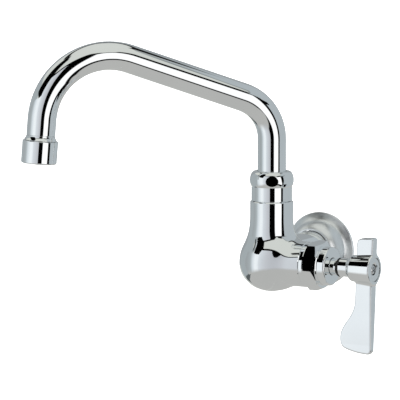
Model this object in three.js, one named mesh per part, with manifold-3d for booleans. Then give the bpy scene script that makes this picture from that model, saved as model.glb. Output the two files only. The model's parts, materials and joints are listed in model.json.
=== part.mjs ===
// Single-hole wall faucet with a swing spout and a quarter-turn lever valve, chrome-plated brass.
// Millimetres, +Z up. The origin is the centre of the flange's back face, on the wall plane.
// +X points to the lever, and the room is on the -Y side.
import * as THREE from "three";
import { mergeVertices } from "three/addons/utils/BufferGeometryUtils.js";
import Module from "manifold-3d";

const wasm = await Module();
wasm.setup();

// ---- Driving dimensions --------------------------------------------------------------------
const GAP = 0.3; // clearance left between faces that touch on the real object
const GROOVE_PLAY = 0.15; // clearance of a ring on each side of its groove
const ROUND = 28; // sides of a large turned surface
const SMALL_ROUND = 18; // sides of a small turned surface

const WALL_TO_NECK_AXIS = 71.4;
const BULB_RADIUS = 21.45;
const BULB_CENTRE_Z = -1;
const BULB_BOTTOM_Z = -19.7;
const NECK_RADIUS = 14.35;
const NECK_TOP_Z = 40.7;
const INLET_ARM_RADIUS = 14;
const INLET_SOCKET_RADIUS = 9.9; // 1/2 in NPT female socket
const INLET_SOCKET_DEPTH = 16;
const INLET_END_SETBACK = 1; // the arm's end stops short of the wall plane
const WATERWAY_RADIUS = 6;
const RISER_RADIUS = 3.4; // slanted drilling from the valve chamber up to the neck bore
const RISER_LENGTH = 24;
const RISER_TILT = -0.46;
const RISER_MIDDLE = { x: 8.3, z: 16 };

const PORT_ROOT_RADIUS = 18; // where the port grows out of the bulb
const PORT_ROOT_X = 8;
const PORT_RADIUS = 15.05;
const PORT_FACE_X = 27.7;
const PORT_SPIGOT_RADIUS = 12.4;
const PORT_SPIGOT_END_X = 35.2;
const CHAMBER_RADIUS = 10.2;
const CHAMBER_FLOOR_X = 9;

const BONNET_HEX_CORNER_RADIUS = 17.2;
const BONNET_HEX_START_X = 30.6;
const BONNET_HEX_END_X = 39.4;
const BONNET_HEX_FIRST_CORNER = THREE.MathUtils.degToRad(-6); // above the room side (-Y)
const BONNET_CAP_RADIUS = 12.8;
const BONNET_END_X = 45.6;
const CARTRIDGE_RADIUS = 9.8;
const CARTRIDGE_FLANGE_RADIUS = 12.3;
const CARTRIDGE_NECK_RADIUS = 5.4;
const CARTRIDGE_NECK_END_X = 50.2;
const STEM_RADIUS = 4.2;
const STEM_BORE_RADIUS = 4.5;
const SPLINE_RADIUS = 3.6;
const STEM_END_X = 66.5;
const DISC_RADIUS = 7.7;
const DISC_THICKNESS = 3.1;
const FIXED_DISC_X = 13.9;

const SKIRT_START_X = 51.9;
const SKIRT_RADIUS = 6.1;
const SKIRT_BORE_RADIUS = 4.95; // clears the stem clip
const SKIRT_BORE_END_X = 54.5;
const HUB_RADIUS = 10;
const HUB_FACE_X = 76.5;
const BLADE_THICKNESS = 7;
const BLADE_TOP_Z = 20.8;
const BLADE_TIP_Z = -56.2;

const SPIGOT_RADIUS = 12;
const SPIGOT_TOP_Z = 48;
const NECK_BORE_RADIUS = 9.4;
const NECK_BORE_FLOOR_Z = 23;
const NUT_COLLAR_RADIUS = 13.5;
const NUT_RING_RADIUS = 14.6;
const NUT_FLAT_DISTANCE = 13.95; // from the axis to each of six shallow wrench flats
const NUT_FLAT_FACING = THREE.MathUtils.degToRad(29);
const NUT_BORE_RADIUS = 12.4;
const NUT_RING_START_Z = 50.4;
const NUT_TOP_Z = 60.7;

const TUBE_RADIUS = 9.4; // 3/4 in tube
const TUBE_WALL = 1;
const TUBE_PLUG_RADIUS = TUBE_RADIUS - TUBE_WALL - GAP; // of what slides into the tube's ends
const TUBE_FOOT_Z = 52.6;
const LOWER_BEND_START_Z = 81.7;
const LOWER_BEND_RADIUS = 29.9;
const RISE_ANGLE = THREE.MathUtils.degToRad(19.1);
const STRAIGHT_RUN = 80.2;
const OUTLET_BEND_RADIUS = 44;
const OUTLET_LEAN = THREE.MathUtils.degToRad(4.7); // outlet leg off the vertical, outwards
const OUTLET_LEG = 10.3; // straight tube after the outlet bend
const SPOUT_TURN_FROM_WALL = THREE.MathUtils.degToRad(44); // rest position of the swing spout
const SLEEVE_RADIUS = 9;
const SLEEVE_FOOT_Z = 25;
const SLEEVE_BORE_RADIUS = 6;
const SLEEVE_PLUG = 9; // length of the sleeve inside the tube

const OUTLET_CAP_RADIUS = 11.6;
const OUTLET_CAP_HEIGHT = 14.9;
const OUTLET_FLARE_HEIGHT = 3;
const OUTLET_FLARE_RADIUS = 10.7;

const FLANGE_RADIUS = 25.4; // 2 in wall flange
const FLANGE_DOME_RADIUS = 20.4;
const FLANGE_DEPTH = 15.8;

// ---- Materials -----------------------------------------------------------------------------
const finish = (color, roughness, metalness) =>
  new THREE.MeshStandardMaterial({ color, roughness, metalness });
const chrome = () => finish(0xd9dde0, 0.06, 1);
const brass = () => finish(0xb98f45, 0.35, 1);
const steel = () => finish(0x9a9da0, 0.35, 1);
const rubber = () => finish(0x161616, 0.8, 0);
const plastic = () => finish(0xdedcd4, 0.5, 0);
const ceramic = () => finish(0xf1efe8, 0.25, 0);

// ---- Solids --------------------------------------------------------------------------------
// Merges a closed geometry's shared vertices and turns its faces outwards.
function closed(geometry) {
  const bare = geometry.index ? geometry.toNonIndexed() : geometry;
  bare.deleteAttribute("normal");
  bare.deleteAttribute("uv");
  const merged = mergeVertices(bare, 1e-3);
  const corner = (i) => new THREE.Vector3().fromBufferAttribute(merged.attributes.position, i);
  const index = merged.index.array;
  let volume = 0;
  for (let i = 0; i < index.length; i += 3) {
    const [a, b, c] = [corner(index[i]), corner(index[i + 1]), corner(index[i + 2])];
    volume += a.dot(b.cross(c));
  }
  if (volume < 0) merged.setIndex(new THREE.BufferAttribute(index.slice().reverse(), 1));
  return merged;
}

function toManifold(geometry) {
  const shell = closed(geometry);
  return new wasm.Manifold(
    new wasm.Mesh({
      numProp: 3,
      vertProperties: shell.attributes.position.array,
      triVerts: new Uint32Array(shell.index.array),
    }),
  );
}

function toGeometry(manifold) {
  const mesh = manifold.getMesh();
  return new THREE.BufferGeometry()
    .setAttribute("position", new THREE.BufferAttribute(mesh.vertProperties, 3))
    .setIndex(new THREE.BufferAttribute(mesh.triVerts, 1));
}

// Joins the first list of geometries and cuts the second list out of them.
function carved(joined, cuts = []) {
  let solid = toManifold(joined[0]);
  for (const piece of joined.slice(1)) solid = solid.add(toManifold(piece));
  for (const cut of cuts) solid = solid.subtract(toManifold(cut));
  return toGeometry(solid);
}

// Turned solids: a profile of [radius, station] points, spun about one axis through the origin.
const lathe = (profile, sides) =>
  new THREE.LatheGeometry(
    profile.map(([radius, station]) => new THREE.Vector2(radius, station)),
    sides,
  );
const turnedZ = (profile, sides = ROUND) => lathe(profile, sides).rotateX(Math.PI / 2);
const turnedX = (profile, sides = ROUND) => lathe(profile, sides).rotateZ(-Math.PI / 2);
const turnedY = (profile, sides = ROUND) => lathe(profile, sides);

const rod = (radius, from, to) => [[0, from], [radius, from], [radius, to], [0, to]];
const ring = (inner, outer, from, to) =>
  [[inner, from], [outer, from], [outer, to], [inner, to], [inner, from]];

// An O-ring: a round section of the given radius, centred on (ringRadius, station).
function roundRing(ringRadius, sectionRadius, station) {
  const SECTION_SIDES = 8;
  const points = [];
  for (let i = 0; i <= SECTION_SIDES; i++) {
    const angle = (i % SECTION_SIDES) * ((2 * Math.PI) / SECTION_SIDES);
    points.push([
      ringRadius + sectionRadius * Math.cos(angle),
      station + sectionRadius * Math.sin(angle),
    ]);
  }
  return points;
}

// Points of a curve as [x, y] pairs, without its first point.
const curvePoints = (curve, steps) => curve.getPoints(steps).slice(1).map((p) => [p.x, p.y]);
const v2 = (x, y) => new THREE.Vector2(x, y);

// A six-sided bar along X; the first corner lies at the given angle above the -Y side.
function hexBarX(cornerRadius, firstCorner, from, to) {
  return new THREE.CylinderGeometry(cornerRadius, cornerRadius, to - from, 6)
    .rotateZ(-Math.PI / 2)
    .rotateX(-Math.PI / 2 - firstCorner)
    .translate((from + to) / 2, 0, 0);
}

// A six-sided bar along Z; one flat faces the given angle, counterclockwise from -Y.
function hexBarZ(flatDistance, facing, from, to) {
  const cornerRadius = flatDistance / Math.cos(Math.PI / 6);
  return new THREE.CylinderGeometry(cornerRadius, cornerRadius, to - from, 6)
    .rotateX(Math.PI / 2)
    .rotateZ(facing - Math.PI / 6)
    .translate(0, 0, (from + to) / 2);
}

// ---- Assembly ------------------------------------------------------------------------------
const faucet = new THREE.Group();
const atNeckAxis = new THREE.Group(); // the crossing of the neck axis and the valve axis
atNeckAxis.position.y = -WALL_TO_NECK_AXIS;
faucet.add(atNeckAxis);
const spout = new THREE.Group(); // its reach runs along its own -X
spout.rotation.z = SPOUT_TURN_FROM_WALL;
atNeckAxis.add(spout);

function addPiece(group, name, geometry, material) {
  const mesh = new THREE.Mesh(closed(geometry), material);
  mesh.name = name;
  group.add(mesh);
}

// ---- Body casting --------------------------------------------------------------------------
const bulbBottom = new THREE.EllipseCurve(
  0, BULB_CENTRE_Z, BULB_RADIUS, BULB_CENTRE_Z - BULB_BOTTOM_Z, -Math.PI / 2, 0,
);
const shoulder = new THREE.CubicBezierCurve(
  v2(BULB_RADIUS, BULB_CENTRE_Z), v2(BULB_RADIUS, 12), v2(NECK_RADIUS, 10), v2(NECK_RADIUS, 31),
);
const neckAndBulb = turnedZ([
  [0, BULB_BOTTOM_Z],
  ...curvePoints(bulbBottom, 8),
  ...curvePoints(shoulder, 9),
  [NECK_RADIUS, NECK_TOP_Z - 0.7],
  [NECK_RADIUS - 0.7, NECK_TOP_Z],
  [SPIGOT_RADIUS, NECK_TOP_Z],
  [SPIGOT_RADIUS, SPIGOT_TOP_Z],
  [0, SPIGOT_TOP_Z],
]);
const portFlare = new THREE.QuadraticBezierCurve(
  v2(PORT_ROOT_RADIUS, PORT_ROOT_X), v2(PORT_RADIUS + 0.15, 13), v2(PORT_RADIUS, 21),
);
const port = turnedX([
  [0, 0],
  [PORT_ROOT_RADIUS, 0],
  [PORT_ROOT_RADIUS, PORT_ROOT_X],
  ...curvePoints(portFlare, 4),
  [PORT_RADIUS, PORT_FACE_X],
  [PORT_SPIGOT_RADIUS, PORT_FACE_X],
  [PORT_SPIGOT_RADIUS, PORT_SPIGOT_END_X],
  [0, PORT_SPIGOT_END_X],
]);
const inletEnd = WALL_TO_NECK_AXIS - INLET_END_SETBACK;
const inletArm = turnedY(rod(INLET_ARM_RADIUS, 0, inletEnd));
const inletWaterway = turnedY([
  [0, -WATERWAY_RADIUS],
  [WATERWAY_RADIUS, -WATERWAY_RADIUS],
  [WATERWAY_RADIUS, inletEnd - INLET_SOCKET_DEPTH - 2],
  [INLET_SOCKET_RADIUS, inletEnd - INLET_SOCKET_DEPTH],
  [INLET_SOCKET_RADIUS + 0.5, inletEnd + 1],
  [0, inletEnd + 1],
], SMALL_ROUND);
const valveChamber = turnedX([
  [0, 0],
  [WATERWAY_RADIUS - 1, 0],
  [WATERWAY_RADIUS - 1, CHAMBER_FLOOR_X],
  [CHAMBER_RADIUS, CHAMBER_FLOOR_X],
  [CHAMBER_RADIUS, PORT_SPIGOT_END_X + 1],
  [0, PORT_SPIGOT_END_X + 1],
], SMALL_ROUND);
const neckBore = turnedZ(rod(NECK_BORE_RADIUS, NECK_BORE_FLOOR_Z, SPIGOT_TOP_Z + 1));
const riser = new THREE.CylinderGeometry(RISER_RADIUS, RISER_RADIUS, RISER_LENGTH, 14)
  .rotateX(Math.PI / 2)
  .rotateY(RISER_TILT)
  .translate(RISER_MIDDLE.x, 0, RISER_MIDDLE.z);
addPiece(
  atNeckAxis,
  "faucet_body",
  carved([neckAndBulb, port, inletArm],
    [inletWaterway, valveChamber, neckBore, riser]),
  chrome(),
);

// ---- Wall flange: stations run out from the wall -------------------------------------------
const band = new THREE.QuadraticBezierCurve(
  v2(FLANGE_RADIUS - 0.5, 2.1), v2(22, 3.4), v2(FLANGE_DOME_RADIUS, 4.9),
);
const dome = new THREE.CubicBezierCurve(
  v2(FLANGE_DOME_RADIUS, 4.9), v2(20.2, 9), v2(18.4, 13.4), v2(15.6, FLANGE_DEPTH - 0.3),
);
const FLANGE_BORE = INLET_ARM_RADIUS + GAP;
const FLANGE_RIM_INSIDE = FLANGE_RADIUS - 3;
addPiece(
  faucet,
  "wall_flange",
  turnedY([
    [FLANGE_RIM_INSIDE, 0],
    [FLANGE_RADIUS, 0],
    [FLANGE_RADIUS, 1.6],
    [FLANGE_RADIUS - 0.5, 2.1],
    ...curvePoints(band, 3),
    ...curvePoints(dome, 6),
    [FLANGE_BORE + 0.3, FLANGE_DEPTH],
    [FLANGE_BORE, FLANGE_DEPTH - 0.4],
    [FLANGE_BORE, 10],
    [17.8, 8],
    [18.4, 4],
    [FLANGE_RIM_INSIDE, 1.4],
    [FLANGE_RIM_INSIDE, 0],
  ]).rotateX(Math.PI),
  chrome(),
);

// ---- Valve: bonnet nut and quarter-turn cartridge, stations run along X ----------------------
const bonnetCollar = turnedX(rod(PORT_RADIUS, PORT_FACE_X + GAP, BONNET_HEX_START_X + 0.1));
const hexChamfer = turnedX([
  [0, BONNET_HEX_START_X],
  [BONNET_HEX_CORNER_RADIUS - 1, BONNET_HEX_START_X],
  [BONNET_HEX_CORNER_RADIUS + 0.2, BONNET_HEX_START_X + 0.8],
  [BONNET_HEX_CORNER_RADIUS + 0.2, BONNET_HEX_END_X - 1.9],
  [BONNET_HEX_CORNER_RADIUS - 2.7, BONNET_HEX_END_X],
  [0, BONNET_HEX_END_X],
]);
const hexPrism = hexBarX(
  BONNET_HEX_CORNER_RADIUS, BONNET_HEX_FIRST_CORNER, BONNET_HEX_START_X, BONNET_HEX_END_X,
);
const bonnetHex = toGeometry(toManifold(hexPrism).intersect(toManifold(hexChamfer)));
const CAP_EDGE = 1.4; // rounding of the bonnet's outer end
const capEdge = new THREE.EllipseCurve(
  BONNET_CAP_RADIUS - CAP_EDGE, BONNET_END_X - CAP_EDGE, CAP_EDGE, CAP_EDGE, 0, Math.PI / 2,
);
const bonnetCap = turnedX([
  [0, BONNET_HEX_END_X - 1],
  [BONNET_CAP_RADIUS, BONNET_HEX_END_X - 1],
  [BONNET_CAP_RADIUS, BONNET_END_X - CAP_EDGE],
  ...curvePoints(capEdge, 3),
  [0, BONNET_END_X],
]);
const BONNET_THREAD_RADIUS = PORT_SPIGOT_RADIUS + 0.4;
const CARTRIDGE_SHOULDER_X = 38.7;
const CARTRIDGE_BARREL_END_X = 42.9;
const BARREL_RADIUS = 8.6;
const bonnetBore = turnedX([
  [0, PORT_FACE_X],
  [BONNET_THREAD_RADIUS, PORT_FACE_X],
  [BONNET_THREAD_RADIUS, CARTRIDGE_SHOULDER_X + GAP],
  [BARREL_RADIUS + GAP, CARTRIDGE_SHOULDER_X + GAP],
  [BARREL_RADIUS + GAP, CARTRIDGE_BARREL_END_X + GAP],
  [CARTRIDGE_NECK_RADIUS + 0.4, CARTRIDGE_BARREL_END_X + GAP],
  [CARTRIDGE_NECK_RADIUS + 0.4, BONNET_END_X + 1],
  [0, BONNET_END_X + 1],
]);
addPiece(
  atNeckAxis,
  "bonnet_nut",
  carved([bonnetCollar, bonnetHex, bonnetCap], [bonnetBore]),
  chrome(),
);

const CARTRIDGE_WASHER_THICKNESS = 0.8;
const cartridgeWasherX = PORT_SPIGOT_END_X + GAP;
addPiece(
  atNeckAxis,
  "cartridge_washer",
  turnedX(ring(CARTRIDGE_RADIUS + 0.4, CARTRIDGE_FLANGE_RADIUS - 0.1, cartridgeWasherX,
    cartridgeWasherX + CARTRIDGE_WASHER_THICKNESS)),
  rubber(),
);

const CARTRIDGE_START_X = CHAMBER_FLOOR_X + 3.2;
const CARTRIDGE_FLANGE_X = cartridgeWasherX + CARTRIDGE_WASHER_THICKNESS + GAP;
const CAVITY_RADIUS = DISC_RADIUS + GAP;
const CAVITY_END_X = 24;
const cartridgeShell = turnedX([
  [CAVITY_RADIUS, CARTRIDGE_START_X],
  [CARTRIDGE_RADIUS, CARTRIDGE_START_X],
  [CARTRIDGE_RADIUS, CARTRIDGE_FLANGE_X],
  [CARTRIDGE_FLANGE_RADIUS, CARTRIDGE_FLANGE_X],
  [CARTRIDGE_FLANGE_RADIUS, CARTRIDGE_SHOULDER_X],
  [BARREL_RADIUS, CARTRIDGE_SHOULDER_X],
  [BARREL_RADIUS, CARTRIDGE_BARREL_END_X],
  [CARTRIDGE_NECK_RADIUS, CARTRIDGE_BARREL_END_X],
  [CARTRIDGE_NECK_RADIUS, CARTRIDGE_NECK_END_X - 0.4],
  [CARTRIDGE_NECK_RADIUS - 0.4, CARTRIDGE_NECK_END_X],
  [STEM_BORE_RADIUS, CARTRIDGE_NECK_END_X],
  [STEM_BORE_RADIUS, CAVITY_END_X],
  [CAVITY_RADIUS, CAVITY_END_X],
  [CAVITY_RADIUS, CARTRIDGE_START_X],
]);
const WINDOW = { length: 3, width: 8 }; // two side windows let the water out of the cartridge
const windows = new THREE.BoxGeometry(WINDOW.length, 4 * CARTRIDGE_RADIUS, WINDOW.width)
  .translate(CAVITY_END_X - WINDOW.length / 2 - 0.4, 0, 0);
addPiece(atNeckAxis, "cartridge_body", carved([cartridgeShell], [windows]), chrome());

addPiece(
  atNeckAxis,
  "seat_seal",
  turnedX(ring(WATERWAY_RADIUS - 0.8, CAVITY_RADIUS - 0.4, CHAMBER_FLOOR_X + GAP,
    FIXED_DISC_X - GAP), SMALL_ROUND),
  rubber(),
);

// A ceramic disc with two opposite quarter openings; turning one disc lines the openings up.
function valveDisc(from, turn) {
  const HALF_OPENING = 0.65; // angle
  const TIP = 1.6; // radius where the opening's two sides meet
  const openings = [0, Math.PI].map((side) => {
    const middle = side + turn;
    const sector = new THREE.Shape();
    sector.moveTo(TIP * Math.cos(middle), TIP * Math.sin(middle));
    sector.absarc(0, 0, DISC_RADIUS - 2, middle - HALF_OPENING, middle + HALF_OPENING, false);
    sector.closePath();
    return new THREE.ExtrudeGeometry(sector, {
      depth: DISC_THICKNESS + 2,
      bevelEnabled: false,
      curveSegments: 5,
    }).rotateY(Math.PI / 2).translate(from - 1, 0, 0);
  });
  const blank = turnedX(rod(DISC_RADIUS - 0.1, from, from + DISC_THICKNESS), SMALL_ROUND);
  return carved([blank], openings);
}
const movingDiscX = FIXED_DISC_X + DISC_THICKNESS + GAP;
addPiece(atNeckAxis, "fixed_ceramic_disc", valveDisc(FIXED_DISC_X, 0), ceramic());
addPiece(atNeckAxis, "moving_ceramic_disc", valveDisc(movingDiscX, Math.PI / 2), ceramic());

const STEM_GROOVES = [30.5, 37.5]; // middles of the two O-ring grooves
const GROOVE_HALF = 1.1;
const GROOVE_RADIUS = 2.8;
const CLIP_GROOVE_X = 50.4;
const CLIP_THICKNESS = 0.8;
const CLIP_RADIUS = 4.7;
const CLIP_GROOVE_END_X = CLIP_GROOVE_X + CLIP_THICKNESS + 2 * GROOVE_PLAY;
const STEM_FOOT_THICKNESS = 2.4;
const stemFootX = movingDiscX + DISC_THICKNESS + GAP;
const stemShaft = turnedX([
  [0, stemFootX],
  [DISC_RADIUS - 0.4, stemFootX],
  [DISC_RADIUS - 0.4, stemFootX + STEM_FOOT_THICKNESS],
  [STEM_RADIUS, stemFootX + STEM_FOOT_THICKNESS],
  ...STEM_GROOVES.flatMap((middle) => [
    [STEM_RADIUS, middle - GROOVE_HALF],
    [GROOVE_RADIUS, middle - GROOVE_HALF],
    [GROOVE_RADIUS, middle + GROOVE_HALF],
    [STEM_RADIUS, middle + GROOVE_HALF],
  ]),
  [STEM_RADIUS, CLIP_GROOVE_X],
  [GROOVE_RADIUS, CLIP_GROOVE_X],
  [GROOVE_RADIUS, CLIP_GROOVE_END_X],
  [SPLINE_RADIUS, CLIP_GROOVE_END_X],
  [SPLINE_RADIUS, STEM_END_X],
  [0, STEM_END_X],
], SMALL_ROUND);
const SCREW_SHANK_RADIUS = 1.6;
const SCREW_TIP_X = 57;
const screwHole = turnedX(rod(SCREW_SHANK_RADIUS + 0.3, SCREW_TIP_X - 1, STEM_END_X + 1), 12);
addPiece(atNeckAxis, "valve_stem", carved([stemShaft], [screwHole]), brass());

const STEM_RING_SECTION = 0.72;
const stemRingRadius = GROOVE_RADIUS + GROOVE_PLAY + STEM_RING_SECTION;
for (const [name, middle] of [["inner", STEM_GROOVES[0]], ["outer", STEM_GROOVES[1]]]) {
  addPiece(
    atNeckAxis,
    "stem_oring_" + name,
    turnedX(roundRing(stemRingRadius, STEM_RING_SECTION, middle), 20),
    rubber(),
  );
}

// A flat split ring: an annulus in the XY plane with a slot cut out of it.
function splitRing(inner, outer, thickness, slotAngle) {
  const outline = new THREE.Shape();
  outline.absarc(0, 0, outer, slotAngle / 2, 2 * Math.PI - slotAngle / 2, false);
  outline.absarc(0, 0, inner, 2 * Math.PI - slotAngle / 2, slotAngle / 2, true);
  outline.closePath();
  return new THREE.ExtrudeGeometry(outline, {
    depth: thickness,
    bevelEnabled: false,
    curveSegments: 12,
  });
}
addPiece(
  atNeckAxis,
  "stem_clip",
  splitRing(GROOVE_RADIUS + 0.2, CLIP_RADIUS, CLIP_THICKNESS, 1.2)
    .rotateY(Math.PI / 2)
    .translate(CLIP_GROOVE_X + GROOVE_PLAY, 0, 0),
  steel(),
);

// ---- Lever handle --------------------------------------------------------------------------
addPiece(
  atNeckAxis,
  "handle_dust_ring",
  turnedX(ring(CLIP_RADIUS + 0.4, SKIRT_RADIUS + 0.2, CARTRIDGE_NECK_END_X + GAP,
    SKIRT_START_X - GAP), SMALL_ROUND),
  rubber(),
);

const hubFlare = new THREE.CubicBezierCurve(
  v2(SKIRT_RADIUS, 57.6), v2(SKIRT_RADIUS, 59.6), v2(8.7, 59), v2(8.8, 61.6),
);
const hub = turnedX([
  [0, SKIRT_START_X],
  [SKIRT_RADIUS, SKIRT_START_X],
  ...curvePoints(hubFlare, 5),
  [HUB_RADIUS - 0.2, HUB_FACE_X - 3],
  [HUB_RADIUS, HUB_FACE_X - 1],
  [HUB_RADIUS - 0.9, HUB_FACE_X],
  [0, HUB_FACE_X],
]);
// The two blades lie in the XZ plane through the hub: a short one up and a long one down.
const blades = new THREE.Shape();
blades.moveTo(75.9, 0);
blades.lineTo(76.7, BLADE_TOP_Z - 1.5);
blades.quadraticCurveTo(76.7, BLADE_TOP_Z, 75, BLADE_TOP_Z);
blades.lineTo(68.5, BLADE_TOP_Z - 0.3);
blades.quadraticCurveTo(64.8, BLADE_TOP_Z - 0.8, 64.7, 17);
blades.lineTo(64.5, 0);
blades.lineTo(63.7, -19);
blades.bezierCurveTo(63.7, -33, 52.3, -36, 52.3, -47);
blades.quadraticCurveTo(52.3, -52, 56, -53.4);
blades.quadraticCurveTo(63, BLADE_TIP_Z + 0.2, 72, BLADE_TIP_Z);
blades.quadraticCurveTo(75.1, BLADE_TIP_Z, 75.2, -52.5);
blades.closePath();
const BLADE_EDGE = 0.8; // chamfer along the blades' outline
const bladeSolid = new THREE.ExtrudeGeometry(blades, {
  depth: BLADE_THICKNESS - 2 * BLADE_EDGE,
  bevelEnabled: true,
  bevelThickness: BLADE_EDGE,
  bevelSize: BLADE_EDGE,
  bevelOffset: -BLADE_EDGE,
  bevelSegments: 1,
  curveSegments: 6,
}).rotateX(Math.PI / 2).translate(0, BLADE_THICKNESS / 2 - BLADE_EDGE, 0);
const INDEX_RADIUS = 7.6;
const INDEX_THICKNESS = 1;
const INDEX_SETBACK = 0.4;
const SCREW_HEAD_RADIUS = 3.1;
const indexX = HUB_FACE_X - INDEX_SETBACK - INDEX_THICKNESS;
const SCREW_SEAT_X = 72;
const handleBore = turnedX([
  [0, SKIRT_START_X - 1],
  [SKIRT_BORE_RADIUS, SKIRT_START_X - 1],
  [SKIRT_BORE_RADIUS, SKIRT_BORE_END_X],
  [SPLINE_RADIUS + GAP, SKIRT_BORE_END_X + 0.5],
  [SPLINE_RADIUS + GAP, STEM_END_X + GAP],
  [SCREW_SHANK_RADIUS + 0.4, STEM_END_X + GAP],
  [SCREW_SHANK_RADIUS + 0.4, SCREW_SEAT_X],
  [SCREW_HEAD_RADIUS + 0.4, SCREW_SEAT_X],
  [SCREW_HEAD_RADIUS + 0.4, indexX - GAP],
  [INDEX_RADIUS + GAP, indexX - GAP],
  [INDEX_RADIUS + GAP, HUB_FACE_X + 1],
  [0, HUB_FACE_X + 1],
], SMALL_ROUND);
addPiece(atNeckAxis, "lever_handle", carved([hub, bladeSolid], [handleBore]), chrome());

addPiece(
  atNeckAxis,
  "handle_index",
  turnedX(ring(SCREW_HEAD_RADIUS + 0.5, INDEX_RADIUS, indexX, HUB_FACE_X - INDEX_SETBACK),
    SMALL_ROUND),
  chrome(),
);

const SCREW_TOP_X = HUB_FACE_X - 0.6;
const screwBlank = turnedX([
  [0, SCREW_TIP_X],
  [SCREW_SHANK_RADIUS - 0.4, SCREW_TIP_X],
  [SCREW_SHANK_RADIUS, SCREW_TIP_X + 0.8],
  [SCREW_SHANK_RADIUS, SCREW_SEAT_X + GAP],
  [SCREW_HEAD_RADIUS, SCREW_SEAT_X + GAP],
  [SCREW_HEAD_RADIUS, SCREW_TOP_X - 0.7],
  [SCREW_HEAD_RADIUS - 1, SCREW_TOP_X],
  [0, SCREW_TOP_X],
], SMALL_ROUND);
const CROSS_SLOT = { length: 3.6, width: 0.9, depth: 1.2 };
const slots = [0, Math.PI / 2].map((angle) =>
  new THREE.BoxGeometry(2 * CROSS_SLOT.depth, CROSS_SLOT.length, CROSS_SLOT.width)
    .rotateX(angle)
    .translate(SCREW_TOP_X, 0, 0));
addPiece(atNeckAxis, "handle_screw", carved([screwBlank], slots), steel());

// ---- Swivel joint of the spout, stations run along Z ----------------------------------------
const RING_TOP = { width: 3.2, height: 3.6 }; // roundings of the nut's grip ring
const RING_FOOT = { width: 1.1, height: 1.3 };
const ringTop = new THREE.EllipseCurve(
  NUT_RING_RADIUS - RING_TOP.width, NUT_TOP_Z - RING_TOP.height,
  RING_TOP.width, RING_TOP.height, 0, Math.PI / 2,
);
const ringFoot = new THREE.EllipseCurve(
  NUT_RING_RADIUS - RING_FOOT.width, NUT_RING_START_Z + RING_FOOT.height,
  RING_FOOT.width, RING_FOOT.height, -Math.PI / 2, 0,
);
const NUT_LIP_Z = 57.4; // underside of the nut's inward lip
const TUBE_CLEARANCE = 0.45;
const nutShell = turnedZ([
  [NUT_BORE_RADIUS, NECK_TOP_Z + GAP],
  [NUT_COLLAR_RADIUS, NECK_TOP_Z + GAP],
  [NUT_COLLAR_RADIUS, NUT_RING_START_Z],
  ...curvePoints(ringFoot, 2),
  ...curvePoints(ringTop, 4),
  [TUBE_RADIUS + TUBE_CLEARANCE, NUT_TOP_Z],
  [TUBE_RADIUS + TUBE_CLEARANCE, NUT_LIP_Z],
  [NUT_BORE_RADIUS, NUT_LIP_Z],
  [NUT_BORE_RADIUS, NECK_TOP_Z + GAP],
]);
const nutFlats = hexBarZ(NUT_FLAT_DISTANCE, NUT_FLAT_FACING, NECK_TOP_Z, NUT_TOP_Z + 1);
addPiece(
  atNeckAxis,
  "swivel_nut",
  toGeometry(toManifold(nutShell).intersect(toManifold(nutFlats))),
  chrome(),
);

const THRUST_WASHER_RADIUS = 11.7;
const THRUST_WASHER_THICKNESS = 1.2;
const SNAP_RING = { inner: 8.4, outer: 11.6, thickness: 1.2, slotAngle: 0.35 };
const thrustWasherZ = SPIGOT_TOP_Z + GAP;
const snapRingZ = thrustWasherZ + THRUST_WASHER_THICKNESS + GAP;
addPiece(
  atNeckAxis,
  "thrust_washer",
  turnedZ(ring(SLEEVE_RADIUS + 0.35, THRUST_WASHER_RADIUS, thrustWasherZ,
    thrustWasherZ + THRUST_WASHER_THICKNESS)),
  plastic(),
);
addPiece(
  atNeckAxis,
  "swivel_bushing",
  turnedZ(ring(TUBE_RADIUS + 0.35, NUT_BORE_RADIUS - 0.35, TUBE_FOOT_Z, NUT_LIP_Z - GAP)),
  plastic(),
);
addPiece(
  spout,
  "spout_snap_ring",
  splitRing(SNAP_RING.inner, SNAP_RING.outer, SNAP_RING.thickness, SNAP_RING.slotAngle)
    .translate(0, 0, snapRingZ),
  brass(),
);

const SLEEVE_GROOVES = [31, 38.5];
const SLEEVE_GROOVE_HALF = 1.35;
const SLEEVE_GROOVE_RADIUS = 7.2;
const SNAP_GROOVE_RADIUS = SNAP_RING.inner - 0.3;
addPiece(
  spout,
  "spout_sleeve",
  turnedZ([
    [SLEEVE_BORE_RADIUS, SLEEVE_FOOT_Z],
    [SLEEVE_RADIUS - 0.6, SLEEVE_FOOT_Z],
    [SLEEVE_RADIUS, SLEEVE_FOOT_Z + 1],
    ...SLEEVE_GROOVES.flatMap((middle) => [
      [SLEEVE_RADIUS, middle - SLEEVE_GROOVE_HALF],
      [SLEEVE_GROOVE_RADIUS, middle - SLEEVE_GROOVE_HALF],
      [SLEEVE_GROOVE_RADIUS, middle + SLEEVE_GROOVE_HALF],
      [SLEEVE_RADIUS, middle + SLEEVE_GROOVE_HALF],
    ]),
    [SLEEVE_RADIUS, snapRingZ - GROOVE_PLAY],
    [SNAP_GROOVE_RADIUS, snapRingZ - GROOVE_PLAY],
    [SNAP_GROOVE_RADIUS, snapRingZ + SNAP_RING.thickness + GROOVE_PLAY],
    [SLEEVE_RADIUS, snapRingZ + SNAP_RING.thickness + GROOVE_PLAY],
    [SLEEVE_RADIUS, TUBE_FOOT_Z - GAP],
    [TUBE_PLUG_RADIUS, TUBE_FOOT_Z - GAP],
    [TUBE_PLUG_RADIUS, TUBE_FOOT_Z + SLEEVE_PLUG],
    [SLEEVE_BORE_RADIUS, TUBE_FOOT_Z + SLEEVE_PLUG],
    [SLEEVE_BORE_RADIUS, SLEEVE_FOOT_Z],
  ]),
  brass(),
);
const SLEEVE_RING_SECTION = 0.9;
const sleeveRingRadius = SLEEVE_GROOVE_RADIUS + GROOVE_PLAY + SLEEVE_RING_SECTION;
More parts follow.
